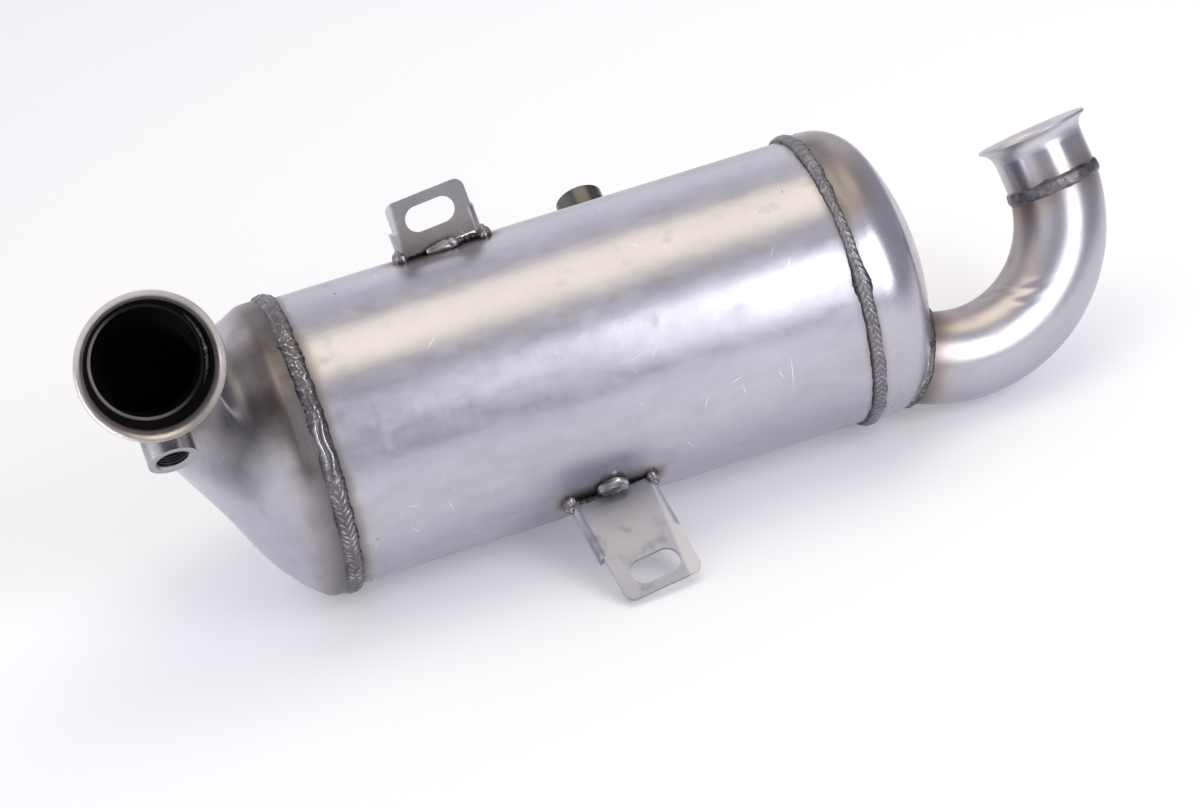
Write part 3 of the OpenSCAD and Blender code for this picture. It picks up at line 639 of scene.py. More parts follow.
# Same steel as the lower bracket, with a darker base as painted shade
upper_bracket_steel = satin_steel(
    "upper_bracket_steel", (0.3, 0.29, 0.3), 0.34, (UPPER_WEB_HEAT,), fineness=700.0, run=700.0, brush=0.1,
    scratch=0.8, cloud=0.7, dirt=0.3, edge_highlight=(UPPER_ROOT, AXIS_X, *BRACKET_BEND_HIGHLIGHT))
lower_bracket_steel = satin_steel(
    "lower_bracket_steel", (0.385, 0.39, 0.455), 0.34, (LOWER_WEB_HEAT,), fineness=700.0, run=700.0, brush=0.1,
    scratch=0.8, cloud=0.5, dirt=0.3, edge_highlight=(LOWER_ROOT, AXIS_X, *BRACKET_BEND_HIGHLIGHT))
boss_steel = satin_steel("boss_turned_steel", (0.4, 0.395, 0.415), 0.26, (BOSS_HEAT,), run=900.0, brush=0.1)
# Same turned steel as the inlet boss, with a near-black base as painted dark reflection
shell_boss_steel = satin_steel("shell_boss_turned_steel", (0.115, 0.112, 0.114), 0.27, (SHELL_BOSS_HEAT,), run=900.0,
                               brush=0.12)

# Black that the inlet turns to with depth
DEEP_BLACK = (0.004, 0.004, 0.0045)


def depth_darkened_steel(name, base, rough, from_height, to_height, tint_reach, side_dark=0.0):
    """Steel of the inlet that turns black with depth down the inlet's axis."""
    material, tree, shader = new_material(name)
    place = use_group(tree, "canister_coordinates")["Place"]
    cloudy = use_group(tree, "cloudy_wear", Place=place, Scale=45.0)
    depth_dark = use_group(tree, "inlet_depth_darkening", Place=place, Facing=put(tree, "ShaderNodeNewGeometry", out="Normal"),
                     Tone=cloudy["Tone"], From=from_height, To=to_height, Grime=side_dark)["Mask"]
    tint_mark = use_group(tree, "heat_tint_and_shade", Place=place, Centre=INLET_FOOT + INLET_OUT * RIM_HEIGHT, Axis=INLET_OUT,
                     Radius=SLEEVE_R, Reach=tint_reach, Strength=0.9)
    metal = shaded(base, range_of(cloudy["Tone"], 0.2, 0.8, 0.86, 1.08))
    metal = blend_of("MULTIPLY", 1.0, metal, tint_mark["Tint"])
    feed(tree, shader, {"Base Color": blend_of("MIX", depth_dark, metal, DEEP_BLACK),
                        "Metallic": sum_of("SUBTRACT", 1.0, depth_dark), "Specular IOR Level": 0.12,
                        "Roughness": rough + depth_dark * 0.4 + cloudy["Smudge"] * 0.1,
                        "Normal": bump_of(0.2, 0.0004, noise_of(place, 900.0, 2.0))})
    return material


inlet_collar_steel = depth_darkened_steel("inlet_collar_steel", (0.6, 0.59, 0.62), 0.27, from_height=0.101, to_height=0.1135,
                                  tint_reach=0.03)
inlet_pipe_steel = depth_darkened_steel("inlet_pipe_steel", (0.58, 0.54, 0.52), 0.34, from_height=0.0905, to_height=0.0922,
                                tint_reach=0.009, side_dark=0.93)


def weld_metal(name, oxide, glint, grain, toe_shade=None):
    """Metal of a bead, with painted shade at its toes where it runs round a pipe or the canister."""
    material, tree, shader = new_material(name)
    place = object_place(tree)
    cloudy = use_group(tree, "cloudy_wear", Place=place, Scale=60.0)
    skin = use_group(tree, "weld_skin", Place=place, Crest=put(tree, "ShaderNodeNewGeometry", out="Pointiness"),
                     Tone=cloudy["Tone"], Smudge=cloudy["Smudge"], Oxide=oxide, Glint=glint)
    colour = skin["Colour"]
    if toe_shade:
        # Painted shade darkens the bead toward its toes
        colour = shaded(colour, use_group(tree, "bead_toe_shade", Place=place, **dict(zip(AXIS_SOCKETS, toe_shade)))["Shade"])
    feed(tree, shader, {"Base Color": colour, "Metallic": 1.0,
                        "Roughness": range_of(skin["Bright"], 0.0, 1.0, 0.4, 0.16),
                        "Normal": bump_of(0.45, grain, skin["Height"])})
    return material


seam_metal = weld_metal("seam_weld_metal", (0.22, 0.208, 0.228), 0.75, 0.0004, (OUTLET_SEAM, AXIS_X, 0.0022, 0.0038))
braid_metal = weld_metal("inlet_seam_metal", (0.165, 0.153, 0.166), 0.95, 0.0004, (INLET_SEAM, AXIS_X, 0.003, 0.0052))
bead_metal = weld_metal("pipe_weld_metal", (0.165, 0.155, 0.168), 0.55, 0.0003)
collar_metal = weld_metal("outlet_collar_weld_metal", (0.178, 0.166, 0.182), 0.85, 0.0004,
                          (COLLAR_FOOT, COLLAR_OUT, 0.0016, 0.0036))
tack_metal = weld_metal("tack_weld_metal", (0.21, 0.198, 0.212), 0.75, 0.00015)
dark_weld = weld_metal("mouth_weld_metal", (0.03, 0.03, 0.031), 0.12, 0.0003)


def hidden_solid(name, base, rough, scale, depth, metallic=0.0):
    """Plain material of the pieces inside: grain and uneven tone."""
    material, tree, shader = new_material(name)
    place = object_place(tree)
    cloudy = use_group(tree, "cloudy_wear", Place=place, Scale=30.0)
    solid = use_group(tree, "solid_grain", Place=place, Tone=cloudy["Tone"], Scale=scale)
    feed(tree, shader, {"Base Color": shaded(base, solid["Level"]), "Metallic": metallic,
                        "Roughness": range_of(solid["Grain"], 0.2, 0.8, rough - 0.08, rough + 0.08),
                        "Normal": bump_of(0.5, depth, solid["Grain"])})
    return material


CELL_PITCH = 0.0018


def cell_carbide():
    """Filter segments: square cells, every second one closed by a plug."""
    material, tree, shader = new_material("filter_cell_carbide")
    place = object_place(tree)
    end_on = vector_of("MULTIPLY", place, (0.0, 1.0, 1.0))
    plugs = put(tree, "ShaderNodeTexChecker", {"Vector": end_on, "Scale": 1.0 / CELL_PITCH}, 1)
    colour = blend_of("MIX", plugs, (0.16, 0.155, 0.15), (0.02, 0.02, 0.02))
    feed(tree, shader, {"Base Color": blend_of("MULTIPLY", 0.5, colour, noise_of(place, 900.0, 3.0, out=1)),
                        "Roughness": 0.85, "Normal": bump_of(0.6, 0.0008, plugs)})
    return material


ring_steel = hidden_solid("ring_stamped_steel", (0.45, 0.44, 0.44), 0.4, 500.0, 0.0002, 1.0)
wire_steel = hidden_solid("knitted_wire_steel", (0.4, 0.39, 0.38), 0.45, 1400.0, 0.0012, 1.0)
# Near-black base: painted shade down the bores, with some soot
thread_steel = hidden_solid("thread_dark_steel", (0.05, 0.049, 0.048), 0.42, 500.0, 0.0002, 1.0)
cement = hidden_solid("segment_cement_grey", (0.4, 0.38, 0.35), 0.85, 700.0, 0.0005)
mat_fibre = hidden_solid("mat_fibre_white", (0.75, 0.72, 0.65), 0.95, 420.0, 0.0012)

FINISHES = {
    "filter_shell": shell_steel, "outlet_dome": dome_steel, "outlet_flare": outlet_collar_steel,
    "inlet_flare": inlet_collar_steel, "inlet_pipe": inlet_pipe_steel, "inlet_sensor_boss": boss_steel,
    "shell_sensor_boss": shell_boss_steel, "upper_bracket": upper_bracket_steel,
    "lower_bracket": lower_bracket_steel, "filter_segments": cell_carbide(), "segment_cement": cement,
    "support_mat": mat_fibre, "inlet_mat_seal": wire_steel, "outlet_mat_seal": wire_steel,
    "inlet_retaining_ring": ring_steel, "outlet_retaining_ring": ring_steel, "inlet_cone": horn_steel,
    "outlet_elbow": bend_steel, "inlet_seam_weld": braid_metal, "outlet_seam_weld": seam_metal,
    "inlet_neck_weld": bead_metal, "outlet_flare_weld": collar_metal, "inlet_boss_weld": bead_metal,
    "shell_boss_weld": bead_metal, "elbow_weld": bead_metal, "inlet_flare_weld": dark_weld,
    "upper_bracket_welds": tack_metal, "lower_bracket_welds": tack_metal}

for node, material in FINISHES.items():
    shape = nodes[node].data
    shape.materials.clear()
    shape.materials.append(material)

# Inlet horn: the loft of its solid, with a fine mesh

HORN_SIDES = 176
HORN_STEPS = 9
DRILL_SIDES = 64
DRILL_START, DRILL_LENGTH = 0.02, 0.05
# Shares of the way from the skirt to the neck along the front, back, lower and upper lines
HORN_STATIONS = [
    (0.15, 1.085, 0.064, 0.005, 0.022, -0.02),
    (0.377, 1.028, 0.187, 0.035, 0.09, -0.18),
    (0.602, 0.951, 0.346, 0.101, 0.213, -0.27),
    (0.783, 0.896, 0.49, 0.204, 0.387, -0.13),
    (0.907, 0.875, 0.656, 0.357, 0.562, 0.214),
    (0.973, 0.889, 0.826, 0.576, 0.752, 0.593),
    (0.997, 0.938, 0.959, 0.801, 0.927, 0.903)]


def horn_line(share):
    """Front reach and height, back reach and height, lower and upper offset of a station."""
    front_end, back_end = INLET_REACH - NECK_R, INLET_REACH + NECK_R
    return np.array([HORN_SKIRT + share[0] * (front_end - HORN_SKIRT), share[1] * NECK_RISE,
                     HORN_SKIRT + share[2] * (back_end - HORN_SKIRT), -SKIRT_R + share[3] * (NECK_RISE + SKIRT_R),
                     -SKIRT_R + share[4] * (INLET_OFFSET - NECK_R + SKIRT_R),
                     SKIRT_R + share[5] * (INLET_OFFSET + NECK_R - SKIRT_R)])


def horn_ring(line):
    turn = np.linspace(0, 2 * math.pi, HORN_SIDES, endpoint=False)
    along = -SEAM_X - (line[0] + line[2]) / 2 - (line[0] - line[2]) / 2 * np.sin(turn)
    up = (line[4] + line[5]) / 2 + (line[5] - line[4]) / 2 * np.cos(turn)
    out = (line[1] + line[3]) / 2 + (line[1] - line[3]) / 2 * np.sin(turn)
    return CANISTER + np.outer(along, AXIS_X) + np.outer(up, INLET_UP) + np.outer(out, INLET_OUT)


def horn_rings():
    skirt = [np.array([reach, SKIRT_R, reach, -SKIRT_R, -SKIRT_R, SKIRT_R]) for reach in (0.0, HORN_SKIRT)]
    neck = [np.array([INLET_REACH - NECK_R, height, INLET_REACH + NECK_R, height, INLET_OFFSET - NECK_R,
                      INLET_OFFSET + NECK_R]) for height in (NECK_RISE, NECK_TOP)]
    lines = skirt + [horn_line(share) for share in HORN_STATIONS] + neck
    rings = [horn_ring(lines[0]), horn_ring((lines[0] + lines[1]) / 2)]
    for k in range(1, len(lines) - 2):
        a, b, c, d = lines[k - 1:k + 3]
        for t in np.linspace(0, 1, HORN_STEPS, endpoint=False):
            line = (b + t / 2 * (c - a) + t * t * (a - 2.5 * b + 2 * c - d / 2)
                    + t ** 3 * (1.5 * (b - c) + (d - a) / 2))
            rings.append(horn_ring(line))
    rings += [horn_ring(lines[-2]), horn_ring((lines[-2] + lines[-1]) / 2), horn_ring(lines[-1])]
    return np.array(rings)


def grid_normals(grid):
    """Directions off a tube's wall, away from its middle."""
    along = np.gradient(grid, axis=0)
    turn = np.roll(grid, -1, axis=1) - np.roll(grid, 1, axis=1)
    across = np.cross(along, turn)
    normals = across / np.linalg.norm(across, axis=2, keepdims=True)
    outward = np.mean(np.einsum("ijk,ijk->ij", normals, grid - grid.mean(axis=(0, 1))))
    return normals if outward >= 0 else -normals


def drill_rod(start, direction, radius, length):
    side, other = square_pair(direction, AXIS_X + 0.3 * np.array([0, 0, 1.0]))
    points = []
    for height in (0.0, length):
        for k in range(DRILL_SIDES):
            points.append(start + direction * height + radius * spoke(2 * math.pi * k / DRILL_SIDES, side, other))
    faces = [(k, (k + 1) % DRILL_SIDES, DRILL_SIDES + (k + 1) % DRILL_SIDES, DRILL_SIDES + k)
             for k in range(DRILL_SIDES)]
    faces += [tuple(range(DRILL_SIDES))[::-1], tuple(range(DRILL_SIDES, 2 * DRILL_SIDES))]
    mesh = new_mesh("drill_rod", points, faces)
    turn_outward(mesh)
    rod = new_object("drill_rod", mesh)
    bpy.context.view_layer.update()
    return rod


def make_horn():
    """Pressed horn with the sensor's hole drilled through it. Gives the grid of its outer face."""
    outer = horn_rings()
    inner = outer - SHEET * grid_normals(outer)
    horn = ring_piece("inlet_horn_skin", np.concatenate([outer, inner[::-1]]), horn_steel, "stainless_sheet",
                      "inlet_cone")
    drill = drill_rod(BOSS_FOOT + BOSS_OUT * DRILL_START, BOSS_OUT, BOSS_BORE_R, DRILL_LENGTH)
    cut = horn.modifiers.new("sensor_hole", "BOOLEAN")
    cut.operation, cut.object, cut.solver = "DIFFERENCE", drill, "EXACT"
    whole = bpy.data.meshes.new_from_object(horn.evaluated_get(bpy.context.evaluated_depsgraph_get()))
    horn.modifiers.clear()
    horn.data = whole
    bpy.data.objects.remove(drill)
    return outer


horn_outer = make_horn()

# Outlet bend: a torus arc with the small creases of a pressed elbow

BEND_ROWS, BEND_SIDES = 150, 88
# Creases: bend angle, angle round the pipe, length round it, depth, lean
BEND_CREASES = [(60, 240, 15, 0.0004, 0.38), (52, 244, 13, 0.0004, 0.36), (47, 206, 14, 0.0004, 0.3),
                (41, 200, 10, 0.0003, 0.3), (54, 212, 10, 0.0002, 0.34)]


def crease_depth(angle, turn):
    """Depth of the creases at a bend angle and an angle round the pipe, both in degrees."""
    depth_here = 0.0
    for at, around, length, depth, lean in BEND_CREASES:
        off = (turn - around + 180) % 360 - 180
        line = math.radians(angle - at - lean * off) * (BEND_R - 0.8 * OUTLET_R)
        fold = swell_at(line, 0.0, 0.0017) - 0.5 * swell_at(line, 0.003, 0.002)
        depth_here += depth * swell_at(off, 0.0, length) * fold
    return depth_here


def bend_point(angle, turn, radius):
    """Place on the bend at an angle along it, an angle round it and a distance from its middle line."""
    middle, out, _ = bend_frame(angle)
    return middle + radius * spoke(turn, out, BEND_SIDE)


def angle_where(inside, low, high, halvings):
    """Angle up to which a test holds, by halving."""
    for _ in range(halvings):
        angle = (low + high) / 2
        low, high = (angle, high) if inside(angle) else (low, angle)
    return low


def mitre_angle(turn, radius):
    """Bend angle at which a line along the pipe meets the collar's mitre."""
    return angle_where(lambda angle: (bend_point(angle, turn, radius) - COLLAR_FOOT) @ COLLAR_OUT < 0,
                       BEND_END - 0.3, BEND_END + 0.1, 30)


def make_bend():
    grids = []
    for radius in (OUTLET_R, OUTLET_R - PIPE_WALL):
        grid = np.zeros((BEND_ROWS, BEND_SIDES, 3))
        for j, turn in enumerate(np.linspace(0, 2 * math.pi, BEND_SIDES, endpoint=False)):
            for i, angle in enumerate(np.linspace(BEND_START, mitre_angle(turn, radius), BEND_ROWS)):
                grid[i, j] = bend_point(angle, turn, radius - crease_depth(math.degrees(angle), math.degrees(turn)))
        grids.append(grid)
    ring_piece("outlet_bend_tube", np.concatenate([grids[0], grids[1][::-1]]), bend_steel, "stainless_sheet",
               "outlet_elbow")


make_bend()

# Canister seams

SEAM_ROWS = 960
SEAM_TOPS = 25
# How far a bead's outline runs, as a share of its half width: past one it is sunk in the sheet
BEAD_EDGE = 1.15
SEAM_SINK = 0.0014
BRAID_PITCH = 0.0036
RIPPLE_PITCH = 0.0038
CALM_PITCH = 0.0055


def full_turn(clock):
    """Clock angle in degrees, from minus 180 to 180."""
    return (math.degrees(clock) + 180) % 360 - 180


def inlet_marks(degrees, run, across, half):
    """Relief of the inlet seam: a flat start, bubbled metal, two bright ridges and a braid below."""
    share = across / half
    here = (run, across, 0)
    lag = 0.0022 * wobble((run, 0, 0), 160, 2) + 0.0008 * wobble(here, 420, 1)
    strokes = ripple_at(run + lag + 0.9 * abs(across) + (0.0017 if across > 0 else 0), BRAID_PITCH)
    braid = strokes ** 1.5 * (0.25 + 0.75 * swell_at(abs(share), 0.45, 0.3)) * (0.65 + 0.8 * wobble(here, 260, 5))
    bubble = max(0.0, wobble(here, 330, 3)) * 1.3 + 0.4 * wobble(here, 900, 4)
    low = 1 / (1 + math.exp(-(degrees - 80) / 3)) if degrees > -60 else 1.0
    ridge_zone = swell_at(degrees, 63, 10)
    bend = 0.16 * math.sin(run * 330)
    ridges = swell_at(share, 0.42 + bend, 0.2) + 0.9 * swell_at(share, -0.34 + bend, 0.2)
    start = swell_at(degrees, 3, 9)
    block = start * (0.9 if abs(share) < 0.75 else 0.0)
    return (0.00075 * low * (braid - 0.35) + 0.0008 * (1 - low) * (1 - ridge_zone) * (1 - start) * bubble
            + 0.0012 * ridge_zone * (ridges - 0.45) + 0.0007 * block)


def outlet_marks(degrees, run, across, half):
    """Relief of the outlet seam: stacked ripples, calmer above, with one restart lump."""
    here = (run, across, 0)
    lag = 0.0013 * wobble((run, 0, 0), 110, 8) + 0.0004 * wobble(here, 500, 7)
    ripple = ripple_at(run + lag - 1.15 * abs(across), RIPPLE_PITCH) ** 1.4
    uneven = 0.65 + 0.7 * wobble(here, 170, 9)
    rings = ripple_at(run - 0.5 * across * across / half, CALM_PITCH)
    above = swell_at(degrees, 4, 16)
    lump_here = swell_at(degrees, 66, 4.5) + 0.5 * swell_at(degrees, 60, 3)
    return (0.0005 * (1 - above) * uneven * (ripple - 0.4) + 0.0005 * above * (rings - 0.5) + 0.0011 * lump_here
            + 0.0002 * wobble(here, 700, 6))


def outlet_width(degrees):
    """The outlet seam is wide at its restart and narrow above it."""
    return 1 + 0.36 * swell_at(degrees, 66, 4) - 0.26 * swell_at(degrees, 42, 17)


def seam_bead(name, toward_end, end_r, half_width, rise, marks, width_at, metal, seed, stands_for):
    """Bead round the canister where its shell meets the sheet of an end."""
    grid = np.zeros((SEAM_ROWS, SEAM_TOPS + 2, 3))
    for i in range(SEAM_ROWS):
        clock = 2 * math.pi * i / SEAM_ROWS
        degrees = full_turn(clock)
        spot = ring_spot(clock, 0)
        half = half_width * (1 + 0.14 * wobble(spot, 9, seed) + 0.12 * wobble(spot, 34, seed + 1)
                             + 0.06 * wobble(spot, 90, seed + 4)) * width_at(degrees)
        shift = 0.0007 * wobble(spot, 8, seed + 2)
        swell = 1 + 0.2 * wobble(spot, 14, seed + 3)
        for j, share in enumerate(np.linspace(-BEAD_EDGE, BEAD_EDGE, SEAM_TOPS)):
            left = max(0.0, 1 - share * share)
            base = end_r if share > 0 else SHELL_R
            across = share * half
            height = base + (end_r + rise * swell - base) * left ** 0.6
            height += marks(degrees, clock * SHELL_R, across, half) * left ** 0.5
            if abs(share) > 1:
                height = base - 0.008 * (abs(share) - 1)
            grid[i, j] = canister_point(toward_end * (SEAM_X + across + shift), clock, max(height, base - 0.0012))
        for j, sign in enumerate((1, -1)):
            grid[i, SEAM_TOPS + j] = canister_point(toward_end * (SEAM_X + sign * half * 0.9), clock,
                                                    SHELL_R - SEAM_SINK)
    ring_piece(name, grid, metal, "weld_metal", stands_for)


seam_bead("inlet_seam_bead", -1, SKIRT_R, half_width=0.0048, rise=0.0015, marks=inlet_marks,
          width_at=lambda degrees: 1.0, metal=braid_metal, seed=11, stands_for="inlet_seam_weld")
seam_bead("outlet_seam_bead", 1, CAP_R, half_width=0.0036, rise=0.0013, marks=outlet_marks,
          width_at=outlet_width, metal=seam_metal, seed=17, stands_for="outlet_seam_weld")

# Beads round pipes and bosses

RING_ROWS = 360
RING_TOPS = 15
RING_SINK = 0.0011
RING_PITCH = 0.0034


def pipe_bead(name, middle, axis, inner_r, outer_r, half, rise, seed, stands_for, lumps=0.22, ripple=0.00025,
              bubbles=0.0003, flat=0.65, grain=340, metal=bead_metal):
    """Bead round a pipe: inner_r below it on the side behind, outer_r on the side ahead."""
    side, other = square_pair(axis)
    grid = np.zeros((RING_ROWS, RING_TOPS + 2, 3))
    for i in range(RING_ROWS):
        turn = 2 * math.pi * i / RING_ROWS
        out = spoke(turn, side, other)
        spot = ring_spot(turn, seed)
        wide = half * (1 + 0.16 * wobble(spot, 3.5, seed) + 0.07 * wobble(spot, 8, seed + 1))
        swell = 1 + lumps * wobble(spot, 2.4, seed + 2) + 0.4 * lumps * wobble(spot, 6, seed + 3)
        shift = 0.0007 * wobble(spot, 2.5, seed + 4)
        run = turn * outer_r
        for j, share in enumerate(np.linspace(-BEAD_EDGE, BEAD_EDGE, RING_TOPS)):
            base = inner_r if share < 0 else outer_r
            across = share * wide
            mark = ripple_at(run - 0.9 * abs(across), RING_PITCH) ** 1.4 - 0.4
            dome = max(0.0, 1 - share * share) ** flat
            top = (max(inner_r, outer_r) + rise * swell - base) * dome
            height = base + top + (ripple * mark + bubbles * wobble((run, across, seed), grain, seed)) * dome
            if abs(share) > 1:
                height = base - 0.006 * (abs(share) - 1)
            grid[i, j] = middle + axis * (across + shift) + out * height
        for j, sign in enumerate((1, -1)):
            grid[i, RING_TOPS + j] = middle + axis * sign * wide * 0.8 + out * (min(inner_r, outer_r) - RING_SINK)
    ring_piece(name, grid, metal, "weld_metal", stands_for)


pipe_bead("inlet_neck_bead", INLET_FOOT + INLET_OUT * NECK_WELD, INLET_OUT, NECK_R, SLEEVE_R, half=0.0032,
          rise=0.0012, seed=23, stands_for="inlet_neck_weld")
pipe_bead("outlet_collar_bead", COLLAR_FOOT + COLLAR_OUT * 0.0002, COLLAR_OUT, OUTLET_R, OUTLET_R, half=0.0039,
          rise=0.0015, seed=31, stands_for="outlet_flare_weld", lumps=0.35, ripple=0.0, bubbles=0.0005, flat=0.55,
          grain=260, metal=collar_metal)

FILLET_STEPS = 11
BOSS_BEAD_ROWS, ELBOW_BEAD_ROWS = 220, 300
FILLET_RIPPLES = 5 * 4.2 / 0.9
# How far a fillet's toe is sunk in the sheet
TOE_SINK = 0.0002


def fillet_ring(name, corners, seed, stands_for, rise=0.0028, spread=0.0028):
    """Bead in the corner between a standing wall and the sheet. Corners: wall, way out, foot and way up."""
    grid = np.zeros((len(corners), FILLET_STEPS + 1, 3))
    for i, (wall, out, foot, up) in enumerate(corners):
        turn = 2 * math.pi * i / len(corners)
        spot = ring_spot(turn, seed)
        tall = rise * (1 + 0.2 * wobble(spot, 4, seed) + 0.12 * wobble(spot, 13, seed + 1))
        start = wall + up * tall - out * TOE_SINK
        for j in range(FILLET_STEPS):
            t = j / (FILLET_STEPS - 1)
            mark = 0.00022 * math.cos(2 * math.pi * (FILLET_RIPPLES * turn + 2.5 * t))
            rough = 0.0006 * wobble((turn * 14, t * 3, seed), 1.3, seed + 2)
            bulge = (0.28 * spread + mark + rough) * math.sin(math.pi * t)
            grid[i, j] = (1 - t) * start + t * foot + unit(out + up) * bulge
        grid[i, FILLET_STEPS] = wall - out * 0.0004 - up * 0.0006
    ring_piece(name, grid, bead_metal, "weld_metal", stands_for)


def boss_bead(name, root, axis, cast, seed, stands_for):
    """Fillet round a boss on a sheet that a ray along the boss is cast on."""
    side, other = square_pair(axis)
    corners = []
    for turn in np.linspace(0, 2 * math.pi, BOSS_BEAD_ROWS, endpoint=False):
        out = spoke(turn, side, other)
        spot = ring_spot(turn, seed)
        spread = 0.0027 * (1 + 0.22 * wobble(spot, 4, seed + 5) + 0.1 * wobble(spot, 12, seed + 6))
        foot = cast(root + out * (BOSS_R + spread)) - axis * TOE_SINK
        corners.append((cast(root + out * BOSS_R), out, foot, axis))
    fillet_ring(name, corners, seed, stands_for)


tree_of_horn = BVHTree.FromPolygons([Vector(p) for p in horn_outer.reshape(-1, 3)],
                                    strip_faces(*horn_outer.shape[:2], False, True))


def cast_on_horn(point):
    return np.array(tree_of_horn.ray_cast(Vector(point + BOSS_OUT * 0.08), Vector(-BOSS_OUT))[0])


def cast_on_shell(point):
    local = point - CANISTER
    away = local - AXIS_X * local[0]
    rise = away @ SHELL_BOSS_OUT
    return point + SHELL_BOSS_OUT * (-rise + math.sqrt(rise ** 2 - away @ away + SHELL_R ** 2))


boss_bead("inlet_boss_bead", BOSS_FOOT, BOSS_OUT, cast_on_horn, 41, "inlet_boss_weld")
boss_bead("shell_boss_bead", SHELL_BOSS_FOOT, SHELL_BOSS_OUT, cast_on_shell, 47, "shell_boss_weld")


def dome_gap(point):
    """Distance of a point from the dome's outer face, and the way off it."""
    local = point - CANISTER
    away = local - AXIS_X * local[0]
    reach = np.linalg.norm(away)
    edge = math.asin((CAP_R - KNUCKLE_R) / (CROWN_R - KNUCKLE_R))
    if math.atan2(reach, local[0] - CROWN_X) <= edge:
        centre, radius = AXIS_X * CROWN_X, CROWN_R
    else:
        centre, radius = AXIS_X * (SEAM_X + DOME_SKIRT) + away / reach * (CAP_R - KNUCKLE_R), KNUCKLE_R
    off = local - centre
    return np.linalg.norm(off) - radius, unit(off)


def elbow_bead(seed=53):
    """Fillet where the outlet bend leaves the dome."""
    corners = []
    for turn in np.linspace(0, 2 * math.pi, ELBOW_BEAD_ROWS, endpoint=False):
        angle = angle_where(lambda angle: dome_gap(bend_point(angle, turn, OUTLET_R))[0] < 0,
                            math.radians(-25), math.radians(30), 40)
        _, out, forward = bend_frame(angle)
        wall = bend_point(angle, turn, OUTLET_R)
        off = spoke(turn, out, BEND_SIDE)
        normal = dome_gap(wall)[1]
        spot = ring_spot(turn, seed)
        spread = 0.0048 * (1 + 0.35 * wobble(spot, 3, seed) + 0.25 * wobble(spot, 9, seed + 1))
        foot = wall + spread * unit(off - normal * (off @ normal))
        gap, normal = dome_gap(foot)
        corners.append((wall, off, foot - normal * (gap + TOE_SINK), forward))
    fillet_ring("elbow_foot_bead", corners, seed, "elbow_weld", rise=0.004, spread=0.0045)


elbow_bead()

MOUTH_BEAD_R = 0.0297
MOUTH_BEAD_LIFT = 0.0018
MOUTH_SWEEP = math.radians(76)


def mouth_bead():
    """Rough short bead inside the inlet, between the pipe's rim and the collar."""
    rows, steps = 150, 13
    other = np.cross(INLET_OUT, AXIS_X)
    grid = np.zeros((rows, steps, 3))
    for i in range(rows):
        share = i / (rows - 1)
        out = spoke((share - 0.5) * MOUTH_SWEEP, AXIS_X, other)
        taper = max(0.05, 1 - abs(2 * share - 1) ** 4)
        swell = taper * (1 + 0.45 * wobble((share, 0, 0), 9, 61) + 0.35 * wobble((share, 0, 0), 26, 62))
        for j in range(steps):
            ring = 2 * math.pi * j / steps
            rough = 1 + 0.2 * wobble((share * 30, math.cos(ring), math.sin(ring)), 1.4, 63)
            reach = MOUTH_BEAD_R + 0.0018 * swell * math.cos(ring) * rough
            height = RIM_HEIGHT + MOUTH_BEAD_LIFT + 0.0024 * swell * math.sin(ring) * rough
            grid[i, j] = INLET_FOOT + INLET_OUT * height + out * reach
    faces = strip_faces(rows, steps, False, True)
    faces += [tuple(range(steps)), tuple((rows - 1) * steps + j for j in range(steps))[::-1]]
    new_piece("inlet_mouth_bead", grid.reshape(-1, 3), faces, dark_weld, "weld_metal", "inlet_flare_weld")


mouth_bead()


# Bracket tacks

def lump(middle, axes, sizes, seed, rings=26, sides=36):
    """Lumpy closed blob: middle, three directions and three half sizes."""
    points = []
    for i in range(rings + 1):
        tilt = math.pi * i / rings
        for j in range(sides if 0 < i < rings else 1):
            turn = 2 * math.pi * j / sides
            way = (math.sin(tilt) * math.cos(turn), math.sin(tilt) * math.sin(turn), math.cos(tilt))
            swell = (1 + 0.16 * wobble(way, 1.3, seed) + 0.05 * wobble(way, 3.0, seed + 1)
                     + 0.012 * wobble(way, 9, seed + 2))
            points.append(middle + swell * sum(w * s * a for w, s, a in zip(way, sizes, axes)))

    def corner(ring, column):
        if ring == 0:
            return 0
        return len(points) - 1 if ring == rings else 1 + (ring - 1) * sides + column % sides

    faces = [tuple(dict.fromkeys((corner(i, j), corner(i + 1, j), corner(i + 1, j + 1), corner(i, j + 1))))
             for i in range(rings) for j in range(sides)]
    return points, faces


def bracket_tacks(name, root, clock, front, seed, stands_for, nugget, nugget_sizes):
    """Nugget before the web and lumps at both flanges."""
    axes = (AXIS_X, front, clock_dir(clock))

    def tack(along, ahead, up, sizes, tack_seed):
        return lump(root + AXIS_X * along + front * ahead + axes[2] * up, axes, sizes, tack_seed)

    along, ahead, up = nugget
    parts = [tack(along, ahead, up, nugget_sizes, seed),
             tack(along + 0.0045, ahead + 0.0006, up + 0.0008, (0.0042, 0.0034, 0.0032), seed + 4)]
    flange = BRACKET_WIDTH / 2 + FLANGE_STEP + 0.0002
    for sign in (-1, 1):
        parts += [tack(sign * flange, -0.003, 0.0004, (0.0036, 0.0062, 0.0044), seed + 10 + sign),
                  tack(sign * (flange - 0.0008), 0.0012, 0.0013, (0.0032, 0.0034, 0.0032), seed + 20 + sign),
                  tack(sign * (flange - 0.0004), -0.0036, 0.0034, (0.0021, 0.0036, 0.0026), seed + 30 + sign)]
    new_piece(name, *joined(parts), tack_metal, "weld_metal", stands_for)


ROOT_LUMPS = 13


